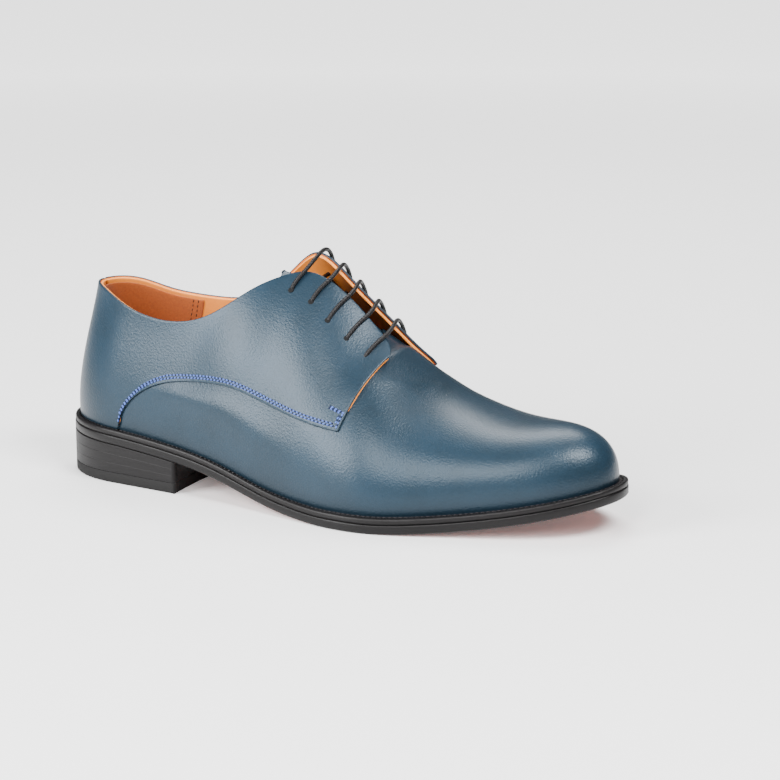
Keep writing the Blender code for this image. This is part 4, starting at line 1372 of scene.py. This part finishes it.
def seam_row(side, height):
    """Line above the quarter's lower edge, at a height measured square to it."""
    quarter = QUARTER[side]
    edge = quarter.grid[QUARTER_BACK:, 0]
    tangent = unit(np.gradient(edge, axis=0))
    column = unit(quarter.grid[QUARTER_BACK:, 4] - edge)
    square = np.linalg.norm(column - tangent * np.sum(column * tangent, 1, keepdims=True), axis=1)
    up_column = height / np.maximum(square, LEAST_SQUARE)
    return row_of(quarter.at_distance(QUARTER_BACK + k, up_column[k]) for k in range(len(edge)))


def front_row(side, setback, low, high):
    """Line up the front edge of the quarter, between two heights above the seam."""
    line, up = row_of(QUARTER[side].at_front(row, setback) for row in range(QUARTER_ROWS // 2))
    run = run_of(line)
    places = np.linspace(low, high, ROW_POINTS)
    return along(line, run, places), unit(along(up, run, places))


def tack_row(side, height, start, end):
    """Line back from the front edge at a height above the seam."""
    quarter = QUARTER[side]
    row = int(np.interp(height, run_of(quarter.grid[-1]), np.arange(QUARTER_ROWS)))
    places = np.linspace(start, end, ROW_POINTS)
    return row_of(quarter.at_front(row, setback) for setback in places)


def make_seam_stitches(thread, hole):
    """Two rows of slanted stitches over the seam, up the front edge and back as a tack."""
    made = []
    for side, word in SIDES.items():
        rows = []
        for k, height in enumerate(stitch_rows):
            within = height - stitch_rows[0]
            setback = front_setback + within
            top = front_row_height - within
            line, up = seam_row(side, height)
            run = run_of(line)
            kept = run < run[-1] - setback
            slant = -stitch_slant * side * (1 - 2 * k)
            for line, up in ((line[kept], up[kept]), front_row(side, setback, height, top),
                             tack_row(side, top, setback, tack_length)):
                spot, way, normal = spaced(line, up, stitch_pitch, k * stitch_pitch / 2)
                rows.append((spot, way, normal, slanted(way, normal, slant)))
        spot, way, normal, ahead = (np.vstack(values) for values in zip(*rows))
        made.append(lay("seam_stitches_" + word, thread, spot + normal * stitch_lift, ahead, normal,
                        *SEAM_STITCH))
        # Needle holes between the stitches: dark marks of painted shade
        made.append(lay("needle_holes_" + word, hole, spot + way * stitch_pitch / 2, way, normal,
                        *NEEDLE_HOLE))
    return made


def make_pocket_stitches(sheets, thread):
    """Stitches down the front of the heel pocket on both sides."""
    made = []
    for side, word in SIDES.items():
        grid, normal = sheets[side]
        for back, letter in zip(POCKET_ROWS, "ab"):
            line = grid[-back] - normal[-back] * pocket_leather
            spot, way, up = spaced(line, -normal[-back], pocket_pitch, 0.001)
            name = "pocket_stitches_" + word + "_" + letter
            made.append(lay(name, thread, spot, way, up, *POCKET_STITCH))
    return made


def make_welt_marks(thread, ridge):
    """Stitches in the welt's furrow and the wheel's marks outside them."""
    outline = sole_loop(crowded_rows(WELT_MARK_ROWS))
    ledge = LEDGE_AT(outline[:, 0] / shoe_length)
    made = []
    for name, distance, drop, pitch, size, finish in (
            ("welt_stitches", ledge - furrow_setback, -0.0003, welt_pitch, WELT_STITCH, thread),
            ("welt_wheel_marks", ledge / 2 + wheel_setback, 0.0, wheel_pitch, WHEEL_MARK, ridge)):
        plan = inset(outline, distance)
        line = np.c_[plan, welt_top(plan[:, 0]) + drop] + SHIFT
        line = np.vstack([line, line[:1]])
        up = np.zeros_like(line)
        up[:, 2] = 1
        made.append(lay(name, finish, *spaced(line, up, pitch), *size))
    return made


def make_eyelets(hole):
    """Painted shade of the eyelets' holes: dark discs round the lace."""
    made = []
    for side, word in SIDES.items():
        centre, normal = on_quarter(side, *eyelet_row(side))
        ahead = unit(np.gradient(centre, axis=0))
        made.append(lay("eyelet_holes_" + word, hole, centre, ahead, normal, *EYELET_RIM, 0.0))
    return made


def make_heel_seam(thread, line_finish):
    """Seam at the heel: the lateral leather ends as a curved tail on the medial side."""
    rise = np.linspace(HEEL_SEAM["rise"][0], HEEL_SEAM["rise"][-1], HEEL_SEAM_POINTS)
    share = share_at(MEDIAL, smooth(HEEL_SEAM["rise"], HEEL_SEAM["station"])(rise))
    point, normal = wall(MEDIAL, share[:, None], rise[:, None], "quarter")
    point, normal = point[:, 0], unit(normal[:, 0])
    line = point + normal * quarter_leather
    cut = tube("heel_seam_line", line, heel_seam_radius, line_finish, around=8, step=0.0008)
    behind = unit(np.cross(normal, unit(np.gradient(line, axis=0))))
    behind = np.where(behind[:, :1] > 0, -behind, behind)
    row = line + behind * heel_seam_setback
    rows = spaced(row, normal, stitch_pitch, 0.001)
    return [cut, lay("heel_seam_stitches", thread, *rows, *HEEL_STITCH)]


def painted_shade(piece, amount):
    """Keep on the piece, as an attribute that its finish reads, how much painted shade darkens it at
    each point.
    """
    mesh = piece.data
    places = np.zeros(len(mesh.vertices) * 3, np.float32)
    mesh.vertices.foreach_get("co", places)
    kept = mesh.attributes.new("painted_shade", "FLOAT", "POINT")
    kept.data.foreach_set("value", amount(places.reshape(-1, 3)).astype(np.float32))


def shade_towards_welt(places):
    """Painted shade of the upper, most at its foot by the welt."""
    above = np.maximum(places[:, 2] - welt_top(places[:, 0] - SHIFT[0]), 0)
    return WELT_SHADE_MOST * np.exp(-above / WELT_SHADE_REACH)


def shade_under_facings(places):
    """Painted shade on the lining under the facings, growing towards the front."""
    return FACING_SHADE_MOST * ease((places[:, 0] - SHIFT[0]) / shoe_length, *FACING_SHADE_FROM)


# Finishes

def linear(code):
    """Linear colour from its sRGB hex value."""
    parts = np.array([int(code[k:k + 2], 16) for k in (1, 3, 5)]) / 255
    parts = np.where(parts <= 0.04045, parts / 12.92, ((parts + 0.055) / 1.055)**2.4)
    return (*parts.tolist(), 1.0)


def finish(name, roughness, specular, coat=0.0, coat_roughness=0.3, sheen=0.0):
    """New material with its shader, and the object's own coordinates in metres."""
    made = bpy.data.materials.new(name)
    made.use_nodes = True
    tree = made.node_tree
    shader = tree.nodes["Principled BSDF"]
    for socket, value in (("Roughness", roughness), ("Specular IOR Level", specular),
                          ("Coat Weight", coat), ("Coat Roughness", coat_roughness),
                          ("Sheen Weight", sheen)):
        shader.inputs[socket].default_value = value
    place = node(tree, "ShaderNodeTexCoord").outputs["Object"]
    return made, tree, shader, place


def noise(tree, place, size_mm, detail=2.0, rough=0.5):
    """Noise whose features are about this size."""
    return node(tree, "ShaderNodeTexNoise", {
        "Vector": place, "Scale": 1000 / size_mm, "Detail": detail, "Roughness": rough}).outputs["Fac"]


def blend(tree, factor, low, high):
    """Colour between two, each a hex value or an output."""
    low, high = (linear(end) if isinstance(end, str) else end for end in (low, high))
    mix = node(tree, "ShaderNodeMix", {"Factor": factor, 6: low, 7: high}, data_type="RGBA")
    return mix.outputs[2]


def surface_of(tree, shader, colour, height, depth):
    """Give the shader its colour and its relief; returns the relief's normal."""
    tree.links.new(colour, shader.inputs["Base Color"])
    bump = node(tree, "ShaderNodeBump", {"Height": height, "Strength": 1.0, "Distance": depth})
    tree.links.new(bump.outputs[0], shader.inputs["Normal"])
    return bump.outputs[0]


def leather_finish(name, light, dark, grain_mm, grain_depth, roughness, coat, shaded=None):
    """Leather: clouded dye, pebbled grain with finer pores between, and a waxed top."""
    made, tree, shader, place = finish(name, roughness, LEATHER_SHINE, coat, LEATHER_WAX)
    shader.inputs["Specular Tint"].default_value = linear(SHINE_TINT)
    cloud = calculated(tree, "MULTIPLY", noise(tree, place, CLOUD_MM, 3.0, 0.55), CLOUD_SHARE)
    mottle = noise(tree, place, MOTTLE_MM, 3.0, 0.6)
    mixed = calculated(tree, "MULTIPLY_ADD", mottle, 1 - CLOUD_SHARE, cloud)
    ramp = node(tree, "ShaderNodeMapRange", {
        "Value": mixed, "From Min": CLOUD_RANGE[0], "From Max": CLOUD_RANGE[1]})
    colour = blend(tree, ramp.outputs[0], dark, light)
    # Painted shade: the colour goes towards the shaded one as far as the piece's attribute says
    if shaded:
        darkened = node(tree, "ShaderNodeAttribute", attribute_name="painted_shade").outputs["Fac"]
        colour = blend(tree, darkened, colour, shaded)
    cells = node(tree, "ShaderNodeTexVoronoi", {"Vector": place, "Scale": 1000 / grain_mm},
                 feature="SMOOTH_F1").outputs["Distance"]
    pores = noise(tree, place, grain_mm * PORE_SIZE)
    height = calculated(tree, "MULTIPLY_ADD", pores, PORE_DEPTH, cells)
    grain = surface_of(tree, shader, colour, height, grain_depth)
    tree.links.new(grain, shader.inputs["Coat Normal"])
    return made


def black_finish(name, light, dark, roughness, streak_mm, depth, coat=0.0):
    """Blacked leather, with fine streaks along the shoe."""
    made, tree, shader, place = finish(name, roughness, BLACK_SHINE, coat)
    stretched = node(tree, "ShaderNodeMapping", {"Vector": place, "Scale": (0.06, 0.06, 1.0)})
    streak = noise(tree, stretched.outputs[0], streak_mm, 4.0, 0.6)
    height = calculated(tree, "MULTIPLY_ADD", streak, 2.0, noise(tree, place, 0.8, 3.0))
    surface_of(tree, shader, blend(tree, streak, dark, light), height, depth)
    return made


def cord_finish(name, light, dark):
    """Waxed braided cord: strands cross in both directions round it."""
    made, tree, shader, place = finish(name, 0.45, CORD_SHINE, coat=0.04)
    lay_of_cord = node(tree, "ShaderNodeUVMap", uv_map="along").outputs[0]
    parts = node(tree, "ShaderNodeSeparateXYZ", {"Vector": lay_of_cord}).outputs
    strands = []
    for sign in (1, -1):
        turn = calculated(tree, "MULTIPLY", parts[0], sign * BRAID_STRANDS)
        run = calculated(tree, "MULTIPLY_ADD", parts[1], 1 / braid_pitch, turn)
        strands.append(calculated(tree, "SINE", calculated(tree, "MULTIPLY", run, 2 * np.pi)))
    woven = calculated(tree, "MAXIMUM", *strands)
    # Painted highlight and shade: the strands' crests are coloured lighter as glints, the grooves
    # darker
    shade = node(tree, "ShaderNodeMapRange", {"Value": woven, "From Min": -0.4, "From Max": 1.0})
    surface_of(tree, shader, blend(tree, shade.outputs[0], dark, light), woven, cord_relief)
    return made


def plain_finish(name, light, dark, size_mm, roughness, depth, sheen=0.0):
    """Even surface, a little mottled, for edges, threads, suede, rubber and the floor."""
    made, tree, shader, place = finish(name, roughness, PLAIN_SHINE, sheen=sheen)
    mottle = noise(tree, place, size_mm, 3.0, 0.6)
    surface_of(tree, shader, blend(tree, mottle, dark, light), mottle, depth)
    return made


# Smooth calf: fine pebbled grain that breaks up a soft satin shine, and painted shade that darkens it
# towards the welt
CALF_BLUE = leather_finish("smooth_calf_blue", "#162a38", "#0f1f29", 0.9, 0.00008, 0.35, 0.05,
                           shaded="#0a151c")
# Cut calf edge, dressed dark: a thin line that is nearly black
CALF_EDGE = plain_finish("dressed_calf_edge", "#22313c", "#141e26", 1.5, 0.45, 0.00005)
# Vegetable-tanned lining: warm tan, matt, with faint pores; painted shade makes it dark brown under
# the facings and darker towards the welt inside the upper
LINING_TAN = leather_finish("tanned_lining", "#d8822e", "#c26c20", 1.1, 0.00003, 0.55, 0.05,
                            shaded="#4a2410")
# Raw edge of the same lining, brighter than its face
LINING_EDGE = plain_finish("raw_lining_edge", "#fb9f48", "#ea8a34", 0.7, 0.6, 0.00005)
# Suede pocket: brown, with a nap that only sheens at a slant
SUEDE_BROWN = plain_finish("pocket_suede", "#a04c12", "#74360c", 1.2, 0.9, 0.0001, sheen=0.2)
# Black wheeled welt: waxed, with a dull sparkle
WELT_BLACK = black_finish("waxed_welt", "#141213", "#070606", 0.45, 1.2, 0.00006, 0.06)
# Edge of the sole: blacked and burnished leather, streaked along the shoe
EDGE_BLACK = black_finish("burnished_edge", "#100e0f", "#060505", 0.42, 0.9, 0.00004, 0.06)
# Stacked lifts: the same black, drier
STACK_BLACK = black_finish("blacked_lifts", "#131112", "#090808", 0.48, 0.8, 0.00004, 0.05)
# Underside: reddish brown sole leather, matt, that warms its shadow
SOLE_BROWN = leather_finish("reddish_sole_leather", "#9a4a36", "#7c3828", 1.6, 0.00003, 0.55, 0.05)
# Rubber top piece: black and matt
RUBBER_BLACK = plain_finish("matt_rubber", "#0c0b0b", "#070606", 1.5, 0.75, 0.00005)
# Waxed braided cord: black, with painted grey glints on the crossing strands and painted shade between
# them
CORD_BLACK = cord_finish("waxed_cord", "#191718", "#070606")
# Bonded thread: royal blue, nearly matt
THREAD_BLUE = plain_finish("bonded_thread", "#5470b2", "#233a82", 0.8, 0.6, 0.00003)
# Needle holes: painted shade of the holes, dark dents in the leather
NEEDLE_HOLE_SHADE = plain_finish("needle_hole_shade", "#131c3c", "#0b1126", 0.6, 0.85, 0.00002)
# Punched eyelets: painted shade of the holes, a black disc without shine round the lace
EYELET_SHADE = plain_finish("eyelet_hole_shade", "#0a0a0b", "#060606", 0.6, 0.9, 0.00002)
# Dark thread of the lining's seams
THREAD_DARK = plain_finish("waxed_thread", "#3a2a20", "#1e1510", 0.7, 0.5, 0.00003)
# Black thread of the welt
THREAD_BLACK = plain_finish("waxed_black_thread", "#3c383a", "#171516", 0.7, 0.45, 0.00004)


# The shoe, put together

blue_thread = stitch_tree("Blue_stitches", THREAD_BLUE)
needle_hole_shade = stitch_tree("Needle_holes", NEEDLE_HOLE_SHADE)
eyelet_tree = stitch_tree("Eyelet_holes", EYELET_SHADE)
dark_thread = stitch_tree("Dark_stitches", THREAD_DARK)
welt_thread = stitch_tree("Welt_stitches", THREAD_BLACK)
welt_ridge = stitch_tree("Wheel_marks", WELT_BLACK)

vamp = make_vamp([CALF_BLUE, LINING_TAN, CALF_EDGE])
quarters = make_quarters([CALF_BLUE, LINING_TAN, CALF_EDGE])
lining = make_lining([LINING_EDGE, LINING_TAN, LINING_EDGE])
pocket, pocket_sheets = make_heel_pocket([SUEDE_BROWN, SUEDE_BROWN, SUEDE_BROWN])
tongue = make_tongue([CALF_BLUE, LINING_TAN, CALF_EDGE])
insole = make_insole([LINING_TAN])
welt = make_welt([WELT_BLACK])
outsole = make_outsole([EDGE_BLACK, SOLE_BROWN])
heel_stack, top_piece = make_heel([STACK_BLACK, RUBBER_BLACK])
laces = tube("waxed_lace", lace_path(), lace_diameter / 2, CORD_BLACK)
seam_stitches = make_seam_stitches(blue_thread, needle_hole_shade)
pocket_stitches = make_pocket_stitches(pocket_sheets, dark_thread)
welt_marks = make_welt_marks(welt_thread, welt_ridge)
eyelets = make_eyelets(eyelet_tree)
heel_seam = make_heel_seam(blue_thread, CALF_EDGE)
# Painted shade, kept on the pieces: on the upper towards the welt, on the lining under the facings
for piece in (vamp, quarters):
    painted_shade(piece, shade_towards_welt)
painted_shade(lining, shade_under_facings)

for piece, part, cad_node in (
        (vamp, "upper_leather", "upper"),
        (quarters, "upper_leather", "upper"),
        (lining, "upper_leather", "upper"),
        (pocket, "upper_leather", "upper"),
        (tongue, "tongue_leather", "tongue"),
        (insole, "insole_leather", "insole"),
        (welt, "welt_leather", "welt"),
        (outsole, "sole_leather", "outsole"),
        (heel_stack, "heel_leather", "heel_stack"),
        (top_piece, "heel_rubber", "heel_top_piece"),
        (laces, "lace_cord", "laces")):
    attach(piece, "root")
    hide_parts(cad_node)
for piece in seam_stitches + pocket_stitches + welt_marks + eyelets + heel_seam:
    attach(piece, "root")


# Camera, floor and light

def place_camera():
    """Camera at the photo's angle, with the aim where it falls in the photo."""
    right, up, ahead = camera_axes()
    middle = PICTURE / 2
    ray = (ahead + right * (AIM_PIXEL[0] - middle) / LENS_PIXELS
           - up * (AIM_PIXEL[1] - middle) / LENS_PIXELS)
    data = bpy.data.cameras.new("camera")
    data.sensor_width = SENSOR_MM
    data.lens = LENS_PIXELS / PICTURE * SENSOR_MM
    data.clip_start = 0.01
    made = linked("camera", data)
    made.location = Vector(np.array(AIM) + SHIFT - ray * CAMERA_DISTANCE)
    made.rotation_mode = "QUATERNION"
    made.rotation_quaternion = Matrix((right, up, -ahead)).transposed().to_quaternion()
    bpy.context.scene.camera = made


def soft_light(name, turn, rise, distance, target, size, power):
    """White softbox that stands at a turn and a rise, seen from the shoe, and faces its target."""
    data = bpy.data.lights.new(name, "AREA")
    data.shape = "RECTANGLE"
    data.size, data.size_y = size
    data.energy = power
    made = linked(name, data)
    turn, rise = np.radians(turn), np.radians(rise)
    way = np.array([np.cos(turn) * np.cos(rise), np.sin(turn) * np.cos(rise), np.sin(rise)])
    made.location = distance * way
    made.rotation_euler = (Vector(target) - Vector(distance * way)).to_track_quat("-Z", "Y").to_euler()


place_camera()
for name, values in SOFTBOXES.items():
    soft_light(name, *values)

world = bpy.data.worlds.new("studio")
world.use_nodes = True
sky = world.node_tree.nodes["Background"].inputs
sky["Color"].default_value = linear("#ffffff")
by_camera = node(world.node_tree, "ShaderNodeLightPath").outputs["Is Camera Ray"]
strength = node(world.node_tree, "ShaderNodeMapRange", {
    "Value": by_camera, "To Min": WORLD_LIGHT, "To Max": WORLD_SEEN})
world.node_tree.links.new(strength.outputs[0], sky["Strength"])
bpy.context.scene.world = world

FLOOR_WHITE = plain_finish("white_floor", "#f6f6f6", "#f2f2f2", 60, 0.6, 0.0)
floor_mesh = bpy.data.meshes.new("floor")
floor_mesh.from_pydata([(-4, -4, 0), (4, -4, 0), (4, 6, 0), (-4, 6, 0)], [], [(0, 1, 2, 3)])
floor_mesh.materials.append(FLOOR_WHITE)
floor_tree = FLOOR_WHITE.node_tree
floor_inputs = floor_tree.nodes["Principled BSDF"].inputs
floor_inputs["Emission Color"].default_value = linear("#ffffff")
by_camera = node(floor_tree, "ShaderNodeLightPath").outputs["Is Camera Ray"]
spot = node(floor_tree, "ShaderNodeTexCoord").outputs["Object"]
away = node(floor_tree, "ShaderNodeVectorMath", {0: spot}, operation="LENGTH")
glow = node(floor_tree, "ShaderNodeMapRange", {
    "Value": away.outputs["Value"], "From Min": FLOOR_GLOW_OVER[0], "From Max": FLOOR_GLOW_OVER[1],
    "To Min": FLOOR_GLOW[0], "To Max": FLOOR_GLOW[1]})
glow = calculated(floor_tree, "MULTIPLY", glow.outputs[0], by_camera)
floor_tree.links.new(glow, floor_inputs["Emission Strength"])
floor = linked("floor", floor_mesh)
